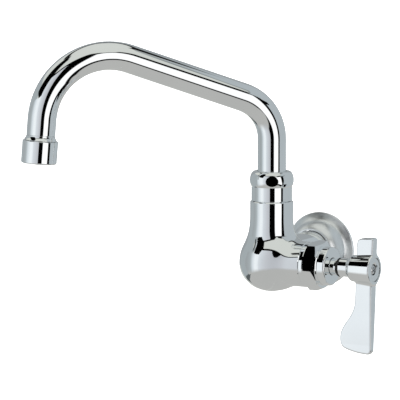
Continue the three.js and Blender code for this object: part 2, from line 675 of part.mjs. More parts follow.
for (const [name, middle] of [["lower", SLEEVE_GROOVES[0]], ["upper", SLEEVE_GROOVES[1]]]) {
  addPiece(
    spout,
    "sleeve_oring_" + name,
    turnedZ(roundRing(sleeveRingRadius, SLEEVE_RING_SECTION, middle), SMALL_ROUND),
    rubber(),
  );
}

// ---- Spout tube ----------------------------------------------------------------------------
// Centreline in the spout's XZ plane: up, a lower bend, a rising straight, the outlet bend, down.
class SpoutCentreline extends THREE.Curve {
  constructor() {
    super();
    this.lowerTurn = Math.PI / 2 - RISE_ANGLE;
    this.outletTurn = Math.PI / 2 + RISE_ANGLE - OUTLET_LEAN;
    this.runs = [
      { length: LOWER_BEND_START_Z - TUBE_FOOT_Z, turn: 0 },
      { length: LOWER_BEND_RADIUS * this.lowerTurn, turn: this.lowerTurn },
      { length: STRAIGHT_RUN, turn: 0 },
      { length: OUTLET_BEND_RADIUS * this.outletTurn, turn: this.outletTurn },
      { length: OUTLET_LEG, turn: 0 },
    ];
    this.total = this.runs.reduce((sum, run) => sum + run.length, 0);
  }

  // Walks the runs; heading 0 points up and grows as the tube turns towards -X.
  getPoint(t, target = new THREE.Vector3()) {
    let left = t * this.total;
    let heading = 0;
    target.set(0, 0, TUBE_FOOT_Z);
    for (const run of this.runs) {
      const part = Math.min(left, run.length);
      const turned = run.turn * (part / run.length);
      const chord = turned ? (2 * part * Math.sin(turned / 2)) / turned : part;
      const course = heading + turned / 2;
      target.x -= chord * Math.sin(course);
      target.z += chord * Math.cos(course);
      heading += turned;
      left -= part;
      if (left <= 0) break;
    }
    return target;
  }
}
const centreline = new SpoutCentreline();
const TUBE_STEPS = 36;
const TUBE_HALF_SIDES = 8; // half the sides of the tube's section
const tubeSection = new THREE.Shape().absarc(0, 0, TUBE_RADIUS, 0, 2 * Math.PI, false);
tubeSection.holes.push(
  new THREE.Path().absarc(0, 0, TUBE_RADIUS - TUBE_WALL, 0, 2 * Math.PI, true),
);
addPiece(
  spout,
  "spout_tube",
  new THREE.ExtrudeGeometry(tubeSection, {
    steps: TUBE_STEPS,
    extrudePath: centreline,
    curveSegments: TUBE_HALF_SIDES,
  }),
  chrome(),
);

// ---- Outlet: stations run down from the end of the tube ---------------------------------------
const outlet = new THREE.Group();
outlet.position.copy(centreline.getPoint(1));
outlet.rotation.y = OUTLET_LEAN;
spout.add(outlet);
const downwards = (profile, sides = ROUND) =>
  turnedZ(profile.map(([radius, depth]) => [radius, -depth]), sides);

const flareStart = GAP;
const shoulderDepth = flareStart + OUTLET_FLARE_HEIGHT;
const ADAPTER_THREAD_RADIUS = 9.8;
const ADAPTER_LENGTH = 11;
const ADAPTER_PLUG = 7; // length of the adapter inside the tube
const ADAPTER_BORE_RADIUS = 7;
addPiece(
  outlet,
  "outlet_adapter",
  downwards([
    [TUBE_PLUG_RADIUS, -ADAPTER_PLUG],
    [TUBE_PLUG_RADIUS, flareStart],
    [TUBE_RADIUS, flareStart],
    [OUTLET_FLARE_RADIUS, shoulderDepth],
    [ADAPTER_THREAD_RADIUS, shoulderDepth],
    [ADAPTER_THREAD_RADIUS, ADAPTER_LENGTH],
    [ADAPTER_BORE_RADIUS, ADAPTER_LENGTH],
    [ADAPTER_BORE_RADIUS, -ADAPTER_PLUG],
    [TUBE_PLUG_RADIUS, -ADAPTER_PLUG],
  ]),
  chrome(),
);
const capTop = shoulderDepth + GAP;
const capBottom = capTop + OUTLET_CAP_HEIGHT;
const CAP_LIP_RADIUS = 8.6;
const CAP_LIP_THICKNESS = 1.5;
const CAP_FOOT_CHAMFER = 1.2;
const CAP_BORE_RADIUS = ADAPTER_THREAD_RADIUS + GAP;
addPiece(
  outlet,
  "aerator_housing",
  downwards([
    [CAP_BORE_RADIUS, capTop],
    [OUTLET_CAP_RADIUS - 0.3, capTop],
    [OUTLET_CAP_RADIUS, capTop + 0.3],
    [OUTLET_CAP_RADIUS, capBottom - CAP_FOOT_CHAMFER],
    [OUTLET_CAP_RADIUS - CAP_FOOT_CHAMFER, capBottom],
    [CAP_LIP_RADIUS, capBottom],
    [CAP_LIP_RADIUS, capBottom - CAP_LIP_THICKNESS],
    [CAP_BORE_RADIUS, capBottom - CAP_LIP_THICKNESS],
    [CAP_BORE_RADIUS, capTop],
  ]),
  chrome(),
);
const washerDepth = ADAPTER_LENGTH + GAP;
const WASHER_THICKNESS = 1.4;
addPiece(
  outlet,
  "aerator_washer",
  downwards(ring(ADAPTER_BORE_RADIUS - 0.2, ADAPTER_THREAD_RADIUS - 0.1, washerDepth,
    washerDepth + WASHER_THICKNESS), SMALL_ROUND),
  rubber(),
);
const INSERT_RADIUS = 9.6;
const SCREEN_THICKNESS = 0.6;
const screenDepth = washerDepth + WASHER_THICKNESS + GAP;
addPiece(
  outlet,
  "aerator_screen",
  downwards(rod(INSERT_RADIUS, screenDepth, screenDepth + SCREEN_THICKNESS), SMALL_ROUND),
  steel(),
);
const insertTop = screenDepth + SCREEN_THICKNESS + GAP;
const insertBottom = capBottom - CAP_LIP_THICKNESS - GAP;
const INSERT_NOSE_RADIUS = CAP_LIP_RADIUS - 0.4;
const INSERT_NOSE_SETBACK = 0.8; // the insert's nose stays this far inside the housing
const insertBlank = downwards([
  [0, insertTop],
  [INSERT_RADIUS, insertTop],
  [INSERT_RADIUS, insertBottom],
  [INSERT_NOSE_RADIUS, insertBottom],
  [INSERT_NOSE_RADIUS, capBottom - INSERT_NOSE_SETBACK],
  [0, capBottom - INSERT_NOSE_SETBACK],
], SMALL_ROUND);
const JETS = { count: 6, radius: 1.2, circle: 4.6 };
const jets = Array.from({ length: JETS.count }, (unused, i) => {
  const angle = (i * 2 * Math.PI) / JETS.count;
  return downwards(rod(JETS.radius, insertTop - 1, capBottom + 1), 10)
    .translate(JETS.circle * Math.cos(angle), JETS.circle * Math.sin(angle), 0);
});
addPiece(outlet, "aerator_insert", carved([insertBlank], jets), plastic());

export default faucet;
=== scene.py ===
import json
import math

import bmesh
import bpy
import numpy as np
from mathutils import Matrix, Vector


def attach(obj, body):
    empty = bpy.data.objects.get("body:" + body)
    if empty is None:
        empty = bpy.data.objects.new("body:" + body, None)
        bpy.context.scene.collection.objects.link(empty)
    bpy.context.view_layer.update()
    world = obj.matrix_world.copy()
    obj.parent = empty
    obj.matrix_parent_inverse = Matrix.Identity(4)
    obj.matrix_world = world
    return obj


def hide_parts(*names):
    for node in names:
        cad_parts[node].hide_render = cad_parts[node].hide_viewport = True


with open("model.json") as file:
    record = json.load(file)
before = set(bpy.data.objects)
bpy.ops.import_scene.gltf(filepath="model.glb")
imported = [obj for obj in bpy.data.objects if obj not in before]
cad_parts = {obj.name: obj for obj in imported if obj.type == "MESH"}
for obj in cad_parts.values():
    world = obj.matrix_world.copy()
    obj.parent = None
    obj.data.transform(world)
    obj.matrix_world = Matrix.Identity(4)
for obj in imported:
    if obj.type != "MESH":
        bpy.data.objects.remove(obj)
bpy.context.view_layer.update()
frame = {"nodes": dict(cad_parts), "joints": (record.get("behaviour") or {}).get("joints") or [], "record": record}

# Wall faucet with a swing spout and a quarter-turn lever. The object's lengths are in millimetres
# from the crossing of the neck axis and the valve axis, which the frame's two joints give.
MM = 0.001
JOINTS = {joint["name"]: joint for joint in frame["joints"]}
SWIVEL = Vector(JOINTS["spout_swivel"]["pos_m"])
VALVE = Vector(JOINTS["lever_turn"]["pos_m"])
CROSSING = Vector((SWIVEL.x, SWIVEL.y, VALVE.z))
WALL_DISTANCE = -CROSSING.y / MM

# ---- Sizes ----------------------------------------------------------------------------------
BULB_RADIUS = 21.45
BULB_CENTRE_Z = -1
BULB_DEPTH = 18.7  # from the bulb's widest station down to its lowest point
NECK_RADIUS = 14.35
NECK_START_Z = 31
SHOULDER_LOWER_HANDLE_Z = 12.8  # of the curve from the bulb to the neck
SHOULDER_UPPER_HANDLE_Z = 11.5
NECK_TOP_Z = 40.7
SPIGOT_RADIUS = 12
SPIGOT_TOP_Z = 48
NECK_BORE_RADIUS = 9.4
NECK_BORE_FLOOR_Z = 23
PORT_RADIUS = 15.05
PORT_SWELL = 1.78  # the port's root is this much thicker
PORT_SWELL_X = 9
PORT_SWELL_LENGTH = 5.6
PORT_FACE_X = 27.7
PORT_FLARE_RADIUS = 20.6  # fore and aft the port narrows straight from this circle in the bulb
PORT_ROOT_X = -14
PORT_ROOT_SHARE = 0.02  # keeps the port's root from closing to a point
PORT_SPIGOT_RADIUS = 12.4
PORT_SPIGOT_END_X = 35.2
CHAMBER_RADIUS = 10.2
CHAMBER_FLOOR_X = 9
INLET_RADIUS = 14
INLET_SETBACK = 1  # of the inlet's end from the wall
INLET_END_Y = WALL_DISTANCE - INLET_SETBACK
SOCKET_RADIUS = 9.9
SOCKET_DEPTH = 16
SOCKET_CHAMFER = 1.4
WATERWAY_RADIUS = 6
CASTING_FILLET = 5
UPPER_FILLET = 9  # between the neck and the port
UPPER_FILLET_Z = 2
UPPER_FILLET_RISE = 14

TUBE_RADIUS = 9.4
TUBE_WALL = 1
TUBE_FOOT_Z = 52.6
LOWER_BEND_START_Z = 81.7
LOWER_BEND_RADIUS = 29.9
RISE_ANGLE = math.radians(19.1)
STRAIGHT_RUN = 80.2
OUTLET_BEND_RADIUS = 44
OUTLET_LEAN = math.radians(4.7)
OUTLET_LEG = 10.3
SPOUT_TURN = math.radians(44)

HUB_FACE_X = 76.5
HUB_RADIUS = 10
SKIRT_RADIUS = 6.1
SKIRT_START_X = 51.9
INDEX_RADIUS = 7.6
INDEX_SEAT_X = 74.8
SCREW_RADIUS = 1.6
SCREW_HEAD_RADIUS = 3.1
SCREW_SEAT_X = 72
BLADE_TOP_Z = 20.8
BLADE_TIP_Z = -56.2

CLEARANCE = 0.3  # between parts that fit into each other
CUTTER_RUN = 2  # how far a cutter runs past the end that it opens


# ---- Mesh helpers ---------------------------------------------------------------------------
SHARP_ANGLE = 35  # degrees between two faces, above which their edge is shaded sharp


def linked(name, data):
    """A new object, in the scene."""
    thing = bpy.data.objects.new(name, data)
    bpy.context.scene.collection.objects.link(thing)
    return thing


def solid_mesh(name, verts, faces):
    """A closed solid's mesh, with its faces turned outwards."""
    mesh = bpy.data.meshes.new(name)
    mesh.from_pydata([tuple(v) for v in verts], [], faces)
    mesh.validate()
    work = bmesh.new()
    work.from_mesh(mesh)
    bmesh.ops.recalc_face_normals(work, faces=work.faces)
    work.to_mesh(mesh)
    work.free()
    return mesh


def shade(mesh, material, sharp=SHARP_ANGLE):
    """Shades a mesh smooth except at sharp edges, and gives it its material."""
    mesh.polygons.foreach_set("use_smooth", [True] * len(mesh.polygons))
    mesh.set_sharp_from_angle(angle=math.radians(sharp))
    mesh.materials.clear()
    mesh.materials.append(material)


def dress(piece, body, material, replaced, sharp=SHARP_ANGLE):
    """Gives a piece its shading and material, and rides it on its body."""
    shade(piece.data, material, sharp)
    weighted = piece.modifiers.new("shading", "WEIGHTED_NORMAL")
    weighted.keep_sharp = True
    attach(piece, body)
    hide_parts(*replaced)


def finish_mesh(name, verts, faces, body, material, replaced, sharp=SHARP_ANGLE):
    """Makes a piece from millimetre points in the frame, and dresses it."""
    mesh = solid_mesh(name, np.asarray(verts, float) * MM, faces)
    dress(linked(name, mesh), body, material, replaced, sharp)


def cut_out(piece, tools):
    """Takes the tools' solids out of a piece, and removes the tools."""
    for tool in tools:
        cut = piece.modifiers.new("cut", "BOOLEAN")
        cut.operation = "DIFFERENCE"
        cut.solver = "EXACT"
        cut.object = tool
    bpy.context.view_layer.update()
    shape = piece.evaluated_get(bpy.context.evaluated_depsgraph_get())
    blank, result = piece.data, bpy.data.meshes.new_from_object(shape)
    piece.modifiers.clear()
    piece.data = result
    bpy.data.meshes.remove(blank)
    for tool in tools:
        bpy.data.objects.remove(tool)
    result.name = piece.name
    return result


NEARLY_STRAIGHT = math.radians(172)  # a corner this open is left as it is
LONGEST_REACH = 0.45  # the share of a side that one rounded corner may take


def rounded(points, radius=0.25, step=math.radians(15)):
    """A profile with its corners rounded. A point may give its own radius as a third value."""
    closed = np.allclose(points[0][:2], points[-1][:2])
    spots = [tuple(p) for p in (points[:-1] if closed else points)]
    count = len(spots)
    out = []
    for i, spot in enumerate(spots):
        here = np.array(spot[:2], float)
        wanted = spot[2] if len(spot) > 2 else radius
        if (not closed and i in (0, count - 1)) or wanted <= 0:
            out.append(tuple(here))
            continue
        back = np.array(spots[i - 1][:2], float) - here
        ahead = np.array(spots[(i + 1) % count][:2], float) - here
        back_length, ahead_length = np.linalg.norm(back), np.linalg.norm(ahead)
        back, ahead = back / back_length, ahead / ahead_length
        opening = math.acos(max(-1, min(1, float(back @ ahead))))
        if opening > NEARLY_STRAIGHT:
            out.append(tuple(here))
            continue
        reach = min(wanted / math.tan(opening / 2), LONGEST_REACH * back_length,
                    LONGEST_REACH * ahead_length)
        arc_radius = reach * math.tan(opening / 2)
        bisector = (back + ahead) / np.linalg.norm(back + ahead)
        centre = here + bisector * arc_radius / math.sin(opening / 2)
        start, end = here + back * reach - centre, here + ahead * reach - centre
        turn = math.pi - opening
        steps = max(2, math.ceil(turn / step))
        for k in range(steps + 1):
            a = math.sin(turn * (1 - k / steps)) / math.sin(turn)
            b = math.sin(turn * k / steps) / math.sin(turn)
            out.append(tuple(centre + a * start + b * end))
    if closed:
        out.append(out[0])
    return out


ON_AXIS = 1e-6  # a smaller radius is a single point


def turned_points(profile, sides, radius_change=None):
    """Spins a profile of (radius, station) about Z. It ends on the axis or closes."""
    closed = np.allclose(profile[0], profile[-1])
    stations = profile[:-1] if closed else profile
    verts, rings = [], []
    for radius, station in stations:
        if radius < ON_AXIS:
            rings.append([len(verts)])
            verts.append((0, 0, station))
            continue
        rings.append(list(range(len(verts), len(verts) + sides)))
        for k in range(sides):
            angle = 2 * math.pi * k / sides
            r = radius + (radius_change(radius, station, angle) if radius_change else 0)
            verts.append((r * math.cos(angle), r * math.sin(angle), station))
    faces = []
    for low, high in zip(rings, rings[1:] + (rings[:1] if closed else [])):
        for k in range(sides):
            n = (k + 1) % sides
            if len(low) == 1 and len(high) == 1:
                continue
            if len(low) == 1:
                faces.append((low[0], high[n], high[k]))
            elif len(high) == 1:
                faces.append((low[k], low[n], high[0]))
            else:
                faces.append((low[k], low[n], high[n], high[k]))
    return np.array(verts, float), faces


def ring_faces(rings, sides, closed=True):
    """Quads between rings of points; if closed, also between the last ring and the first."""
    faces = []
    for i in range(rings if closed else rings - 1):
        low, high = i * sides, (i + 1) % rings * sides
        for k in range(sides):
            n = (k + 1) % sides
            faces.append((low + k, low + n, high + n, high + k))
    return faces


# Places: each turns local Z into a piece's own axis.
def turned_to(verts, place):
    """Points from a piece's own axes to millimetres from the crossing."""
    return np.asarray(verts) @ np.array(place.to_3x3()).T + np.array(place.translation)


def placed(verts, place):
    """Points from a piece's own axes to millimetres in the frame."""
    return turned_to(verts, place) + np.array(CROSSING) / MM


UPRIGHT = Matrix.Identity(4)
ALONG_X = Matrix.Rotation(math.radians(90), 4, "Y")
FROM_WALL = Matrix.Translation((0, WALL_DISTANCE, 0)) @ Matrix.Rotation(math.radians(90), 4, "X")
SPOUT = Matrix.Rotation(SPOUT_TURN, 4, "Z")


def turned(name, profile, place, body, material, replaced, sides=96, radius_change=None):
    verts, faces = turned_points(rounded(profile), sides, radius_change)
    finish_mesh(name, placed(verts, place), faces, body, material, replaced)


def bezier(points, steps):
    """Points of a quadratic or cubic curve, without the first."""
    curve = [np.array(p, float) for p in points]
    out = []
    for i in range(1, steps + 1):
        level, t = curve, i / steps
        while len(level) > 1:
            level = [a * (1 - t) + b * t for a, b in zip(level, level[1:])]
        out.append(tuple(level[0]))
    return out


FAR = 1e9
NO_LENGTH = 1e-12  # a side with a smaller square is left out


def polygon_distance(outline, x, z):
    """Signed distance to a polygon, negative inside."""
    start, end = np.array(outline, float), np.roll(np.array(outline, float), -1, axis=0)
    best = np.full(x.shape, FAR)
    crossings = np.zeros(x.shape, int)
    for (ax, az), (bx, bz) in zip(start, end):
        ex, ez = bx - ax, bz - az
        length = ex * ex + ez * ez
        if length < NO_LENGTH:
            continue
        t = np.clip(((x - ax) * ex + (z - az) * ez) / length, 0, 1)
        best = np.minimum(best, np.hypot(x - ax - t * ex, z - az - t * ez))
        if ez:
            crossings += ((az > z) != (bz > z)) & (x < ax + (z - az) * ex / ez)
    return np.where(crossings % 2 == 1, -best, best)


# ---- Sculpted castings: the zero surface of a distance-like field ---------------------------
def smooth_min(a, b, width):
    overlap = np.maximum(width - np.abs(a - b), 0) / width
    return np.minimum(a, b) - overlap**3 * width / 6


def smooth_max(a, b, width):
    return -smooth_min(-a, -b, width)


def gradient(field, points, step=0.01):
    out = np.empty_like(points)
    for i in range(3):
        shift = np.zeros(3)
        shift[i] = step
        out[:, i] = (field(points + shift) - field(points - shift)) / (2 * step)
    return out


FLATTEST = 0.05  # the least square of a slope that a step is divided by
LONGEST_STEP = 0.5


def onto_surface(field, points, rounds=4):
    for _ in range(rounds):
        slope = gradient(field, points)
        steepness = np.maximum((slope**2).sum(1), FLATTEST)
        move = -(field(points) / steepness)[:, None] * slope
        points = points + np.clip(move, -LONGEST_STEP, LONGEST_STEP)
    return points


def surface_net(field, low, high, cell):
    """Points and quads of a field's zero surface in a box, one point in each crossed cell."""
    axes = [np.arange(low[i], high[i] + cell, cell) for i in range(3)]
    grid = np.stack(np.meshgrid(*axes, indexing="ij"), -1)
    values = field(grid.reshape(-1, 3)).reshape(grid.shape[:3])
    inside = values < 0
    size = [n - 1 for n in values.shape]
    corners = [(i, j, k) for i in (0, 1) for j in (0, 1) for k in (0, 1)]

    def at(array, corner):
        return array[tuple(slice(c, c + n) for c, n in zip(corner, size))]

    count = sum(at(inside, c).astype(int) for c in corners)
    crossed = (count > 0) & (count < 8)
    total, weight = np.zeros((*size, 3)), np.zeros(size)
    for c in corners:
        for axis in range(3):
            if c[axis]:
                continue
            d = tuple(v + (i == axis) for i, v in enumerate(c))
            a, b = at(values, c), at(values, d)
            cut = (a < 0) != (b < 0)
            share = np.where(cut, a / np.where(cut, a - b, 1), 0)
            spot = np.stack([np.full(size, float(v)) for v in c], -1)
            spot[..., axis] += share
            total += spot * cut[..., None]
            weight += cut
    where = np.argwhere(crossed)
    verts = np.array(low) + cell * (where + total[crossed] / weight[crossed][:, None])
    index = -np.ones(size, int)
    index[crossed] = np.arange(len(where))
    quads = []
    for axis in range(3):
        one, two = (axis + 1) % 3, (axis + 2) % 3
        a = np.take(inside, range(size[axis]), axis)
        b = np.take(inside, range(1, size[axis] + 1), axis)
        for spot in np.argwhere(a != b):
            if spot[one] < 1 or spot[two] < 1 or spot[one] >= size[one] or spot[two] >= size[two]:
                continue
            around = []
            for shift_one, shift_two in ((-1, -1), (0, -1), (0, 0), (-1, 0)):
                near = list(spot)
                near[one] += shift_one
                near[two] += shift_two
                around.append(index[tuple(near)])
            quads.append(around if a[tuple(spot)] else around[::-1])
    return verts, np.array(quads)


def evened(field, verts, quads, rounds=4):
    """Evens out the net along the surface."""
    pairs = np.concatenate([quads[:, [i, (i + 1) % 4]] for i in range(4)])
    for _ in range(rounds):
        total, count = np.zeros_like(verts), np.zeros(len(verts))
        for a, b in ((0, 1), (1, 0)):
            np.add.at(total, pairs[:, a], verts[pairs[:, b]])
            np.add.at(count, pairs[:, a], 1)
        verts = verts + 0.5 * (total / count[:, None] - verts)
        verts = onto_surface(field, verts, 2)
    return verts


ON_SURFACE = 0.01  # a point this near the field's surface was not made by a cutter
NO_SLOPE = 1e-9
SAME_WAY = 0.9  # the least cosine between a corner's normal and the field's slope


def sculpted(name, field, box, cell, cutters, body, material, replaced):
    """A casting from a field less its turned cutters, shaded by the field's own slope."""
    verts, quads = surface_net(field, *box, cell)
    verts = onto_surface(field, evened(field, verts, quads))
    mesh = bpy.data.meshes.new(name)
    mesh.from_pydata([tuple(v) for v in verts], [], quads.tolist())
    piece = linked(name, mesh)
    tools = []
    for profile, place, sides in cutters:
        tool_verts, tool_faces = turned_points(profile, sides)
        tool_mesh = solid_mesh("cutter", turned_to(tool_verts, place), tool_faces)
        tools.append(linked("cutter", tool_mesh))
    result = cut_out(piece, tools)
    shade(result, material)
    points = np.array([v.co for v in result.vertices], float)
    on_field = np.abs(field(points)) < ON_SURFACE
    slopes = gradient(field, points)
    slopes /= np.maximum(np.linalg.norm(slopes, axis=1), NO_SLOPE)[:, None]
    corner_normals = np.array([c.vector for c in result.corner_normals], float)
    loop_vertex = np.array([loop.vertex_index for loop in result.loops])
    aligned = (corner_normals * slopes[loop_vertex]).sum(1) > SAME_WAY
    use = on_field[loop_vertex] & aligned
    corner_normals[use] = slopes[loop_vertex][use]
    result.normals_split_custom_set([tuple(n) for n in corner_normals])
    result.transform(Matrix.Translation(CROSSING) @ Matrix.Scale(MM, 4))
    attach(piece, body)
    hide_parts(*replaced)


# ---- Materials ------------------------------------------------------------------------------
def new_material(name):
    material = bpy.data.materials.new(name)
    material.use_nodes = True
    nodes, links = material.node_tree.nodes, material.node_tree.links
    shader = nodes["Principled BSDF"]
    place = nodes.new("ShaderNodeTexCoord")
    return material, nodes, links, shader, place.outputs["Object"]


def noise(nodes, links, place, scale, detail=3, roughness=0.5):
    pattern = nodes.new("ShaderNodeTexNoise")
    pattern.inputs["Scale"].default_value = scale
    pattern.inputs["Detail"].default_value = detail
    pattern.inputs["Roughness"].default_value = roughness
    links.new(place, pattern.inputs["Vector"])
    return pattern.outputs["Fac"]


PATTERN_LOW = 0.3  # a noise pattern lies mostly between these two
PATTERN_HIGH = 0.7


def two_tone(nodes, links, pattern, low, high):
    """Colours a noise pattern from low to high."""
    blend = nodes.new("ShaderNodeValToRGB")
    links.new(pattern, blend.inputs["Fac"])
    first, last = blend.color_ramp.elements
    first.position, last.position = PATTERN_LOW, PATTERN_HIGH
    first.color, last.color = (*low, 1), (*high, 1)
    return blend.outputs["Color"]


def spread(nodes, links, value, low, high):
    """Maps a 0 to 1 pattern onto low to high."""
    node = nodes.new("ShaderNodeMapRange")
    node.inputs["To Min"].default_value = low
    node.inputs["To Max"].default_value = high
    links.new(value, node.inputs["Value"])
    return node.outputs["Result"]


def bump(nodes, links, height, shader, strength, distance_mm):
    node = nodes.new("ShaderNodeBump")
    node.inputs["Strength"].default_value = strength
    node.inputs["Distance"].default_value = distance_mm * MM
    links.new(height, node.inputs["Height"])
    links.new(node.outputs["Normal"], shader.inputs["Normal"])


def chrome_material(name="polished_chrome", roughness=0.03):
    material, nodes, links, shader, place = new_material(name)
    shader.inputs["Metallic"].default_value = 1
    cloud = noise(nodes, links, place, 30, 4)
    colour = two_tone(nodes, links, cloud, (0.86, 0.88, 0.89), (0.91, 0.925, 0.93))
    links.new(colour, shader.inputs["Base Color"])
    haze = noise(nodes, links, place, 420, 6, 0.65)
    rough = spread(nodes, links, haze, roughness * 0.7, roughness * 1.8)
    links.new(rough, shader.inputs["Roughness"])
    ripple = noise(nodes, links, place, 90, 2)
    bump(nodes, links, ripple, shader, 0.04, 0.02)
    return material


def metal_material(name, low, high, roughness, scale):
    """A bare metal with a fine machined texture."""
    material, nodes, links, shader, place = new_material(name)
    shader.inputs["Metallic"].default_value = 1
    grain = noise(nodes, links, place, scale, 5, 0.6)
    links.new(two_tone(nodes, links, grain, low, high), shader.inputs["Base Color"])
    rough = spread(nodes, links, grain, roughness * 0.8, roughness * 1.3)
    links.new(rough, shader.inputs["Roughness"])
    bump(nodes, links, noise(nodes, links, place, scale * 4, 2), shader, 0.15, 0.03)
    return material


def moulded_material(name, low, high, roughness, scale):
    """Rubber or plastic: faint mottling and a fine moulded skin."""
    material, nodes, links, shader, place = new_material(name)
    mottle = noise(nodes, links, place, scale, 4, 0.6)
    links.new(two_tone(nodes, links, mottle, low, high), shader.inputs["Base Color"])
    rough = spread(nodes, links, mottle, roughness * 0.85, roughness * 1.1)
    links.new(rough, shader.inputs["Roughness"])
    bump(nodes, links, noise(nodes, links, place, scale * 9, 3), shader, 0.3, 0.02)
    return material


CHROME = chrome_material()
CHROME_FACE = chrome_material("satin_chrome_face", 0.16)
CHROME_FLANGE = chrome_material("soft_chrome_flange", 0.26)
BRASS = metal_material("machined_brass", (0.60, 0.44, 0.19), (0.74, 0.57, 0.28), 0.32, 160)
STEEL = metal_material("stainless_steel", (0.44, 0.45, 0.46), (0.60, 0.61, 0.62), 0.3, 200)
STEEL_BRIGHT = metal_material("bright_steel", (0.68, 0.69, 0.70), (0.80, 0.81, 0.82), 0.26, 200)
RUBBER = moulded_material(
    "black_rubber", (0.012, 0.012, 0.012), (0.035, 0.035, 0.034), 0.75, 220)
PLASTIC = moulded_material("white_acetal", (0.78, 0.77, 0.72), (0.86, 0.85, 0.81), 0.42, 150)
CERAMIC = moulded_material("valve_ceramic", (0.86, 0.85, 0.80), (0.93, 0.92, 0.88), 0.22, 260)
SLOT_MATERIALS = {
    "chrome_plating": CHROME,
    "bare_brass": BRASS,
    "stainless_steel": STEEL,
    "black_rubber": RUBBER,
    "white_acetal": PLASTIC,
    "valve_ceramic": CERAMIC,
}
for part in frame["record"]["subparts"]:
    node = frame["nodes"][part["node"]]
    node.data.materials.clear()
    node.data.materials.append(SLOT_MATERIALS[part["material_slot"]])


# ---- Body casting ---------------------------------------------------------------------------
SHOULDER = np.array(
    [(BULB_RADIUS, BULB_CENTRE_Z)]
    + bezier([(BULB_RADIUS, BULB_CENTRE_Z), (BULB_RADIUS, SHOULDER_LOWER_HANDLE_Z),
              (NECK_RADIUS, SHOULDER_UPPER_HANDLE_Z), (NECK_RADIUS, NECK_START_Z)], 800)
)
SHOULDER_SLOPE = np.gradient(SHOULDER[:, 0], SHOULDER[:, 1])


def body_field(p):
    x, y, z = p[:, 0], p[:, 1], p[:, 2]
    squeeze = BULB_RADIUS / BULB_DEPTH
    from_axis = np.hypot(x, y)
    below = np.hypot(from_axis, squeeze * (z - BULB_CENTRE_Z)) - BULB_RADIUS
    radius = np.interp(z, SHOULDER[:, 1], SHOULDER[:, 0])
    slope = np.interp(z, SHOULDER[:, 1], SHOULDER_SLOPE, left=0, right=0)
    above = (from_axis - radius) / np.sqrt(1 + slope**2)
    bulb = np.where(z < BULB_CENTRE_Z, below, above)
    from_swell = (x - PORT_SWELL_X) / PORT_SWELL_LENGTH
    port_radius = PORT_RADIUS + PORT_SWELL * np.exp(-(from_swell**2))
    end = math.atan2(PORT_FACE_X, PORT_RADIUS)
    taper = end - math.acos(PORT_FLARE_RADIUS / math.hypot(PORT_FACE_X, PORT_RADIUS))
    straight = (PORT_FLARE_RADIUS - x * math.sin(taper)) / math.cos(taper)
    straight = np.maximum(straight, PORT_RADIUS)
    reach = np.where(x < 0, PORT_ROOT_X, PORT_FLARE_RADIUS)
    circle = PORT_FLARE_RADIUS * np.sqrt(np.maximum(1 - (x / reach) ** 2, PORT_ROOT_SHARE))
    width = np.where(x < PORT_FLARE_RADIUS * math.sin(taper), circle, straight)
    port = (np.hypot(y * port_radius / width, z) - port_radius) * math.cos(taper)
    port = np.maximum(port, PORT_ROOT_X - x)
    inlet = np.maximum(np.hypot(x, z) - INLET_RADIUS, -y)
    rise = np.clip((z - UPPER_FILLET_Z) / UPPER_FILLET_RISE, 0, 1)
    fillet = CASTING_FILLET + (UPPER_FILLET - CASTING_FILLET) * rise**2 * (3 - 2 * rise)
    whole = smooth_min(smooth_min(bulb, port, fillet), inlet, CASTING_FILLET)
    ends = np.maximum(np.maximum(z - SPIGOT_TOP_Z, x - PORT_SPIGOT_END_X), y - INLET_END_Y)
    return np.maximum(whole, ends)


def shoulder_cutter(radius, spigot, face, end, bevel=0.5):
    """Cuts a spigot behind a face, with a small bevel on the face's outer edge."""
    beside, below, past = radius + 6, face - bevel - 1, end + CUTTER_RUN
    return [(spigot, face), (radius - bevel, face), (radius + 1, below), (beside, below),
            (beside, past), (spigot, past), (spigot, face)]


def bore_cutter(radius, start, end):
    """Cuts a round hole from its floor out through an end."""
    return [(0, start), (radius, start), (radius, end + CUTTER_RUN), (0, end + CUTTER_RUN)]


SOCKET_MOUTH_RADIUS = SOCKET_RADIUS + SOCKET_CHAMFER
INLET_SOCKET_CUTTER = [
    (0, -CUTTER_RUN), (SOCKET_MOUTH_RADIUS, -CUTTER_RUN), (SOCKET_MOUTH_RADIUS, INLET_SETBACK),
    (SOCKET_RADIUS, INLET_SETBACK + SOCKET_CHAMFER), (SOCKET_RADIUS, SOCKET_DEPTH),
    (WATERWAY_RADIUS, SOCKET_DEPTH + 2), (WATERWAY_RADIUS, WALL_DISTANCE), (0, WALL_DISTANCE),
]
BODY_BOX = ((-23, -23, -21.5), (36.4, INLET_END_Y + 1.2, SPIGOT_TOP_Z + 1.2))
BODY_CELL = 0.8
sculpted(
    "faucet_casting", body_field, BODY_BOX, BODY_CELL,
    [
        (shoulder_cutter(NECK_RADIUS, SPIGOT_RADIUS, NECK_TOP_Z, SPIGOT_TOP_Z), UPRIGHT, 96),
        (bore_cutter(NECK_BORE_RADIUS, NECK_BORE_FLOOR_Z, SPIGOT_TOP_Z), UPRIGHT, 64),
        (shoulder_cutter(PORT_RADIUS, PORT_SPIGOT_RADIUS, PORT_FACE_X, PORT_SPIGOT_END_X),
         ALONG_X, 96),
        (bore_cutter(CHAMBER_RADIUS, CHAMBER_FLOOR_X, PORT_SPIGOT_END_X), ALONG_X, 64),
        (INLET_SOCKET_CUTTER, FROM_WALL, 64),
    ],
    "faucet", CHROME, ["faucet_body"],
)

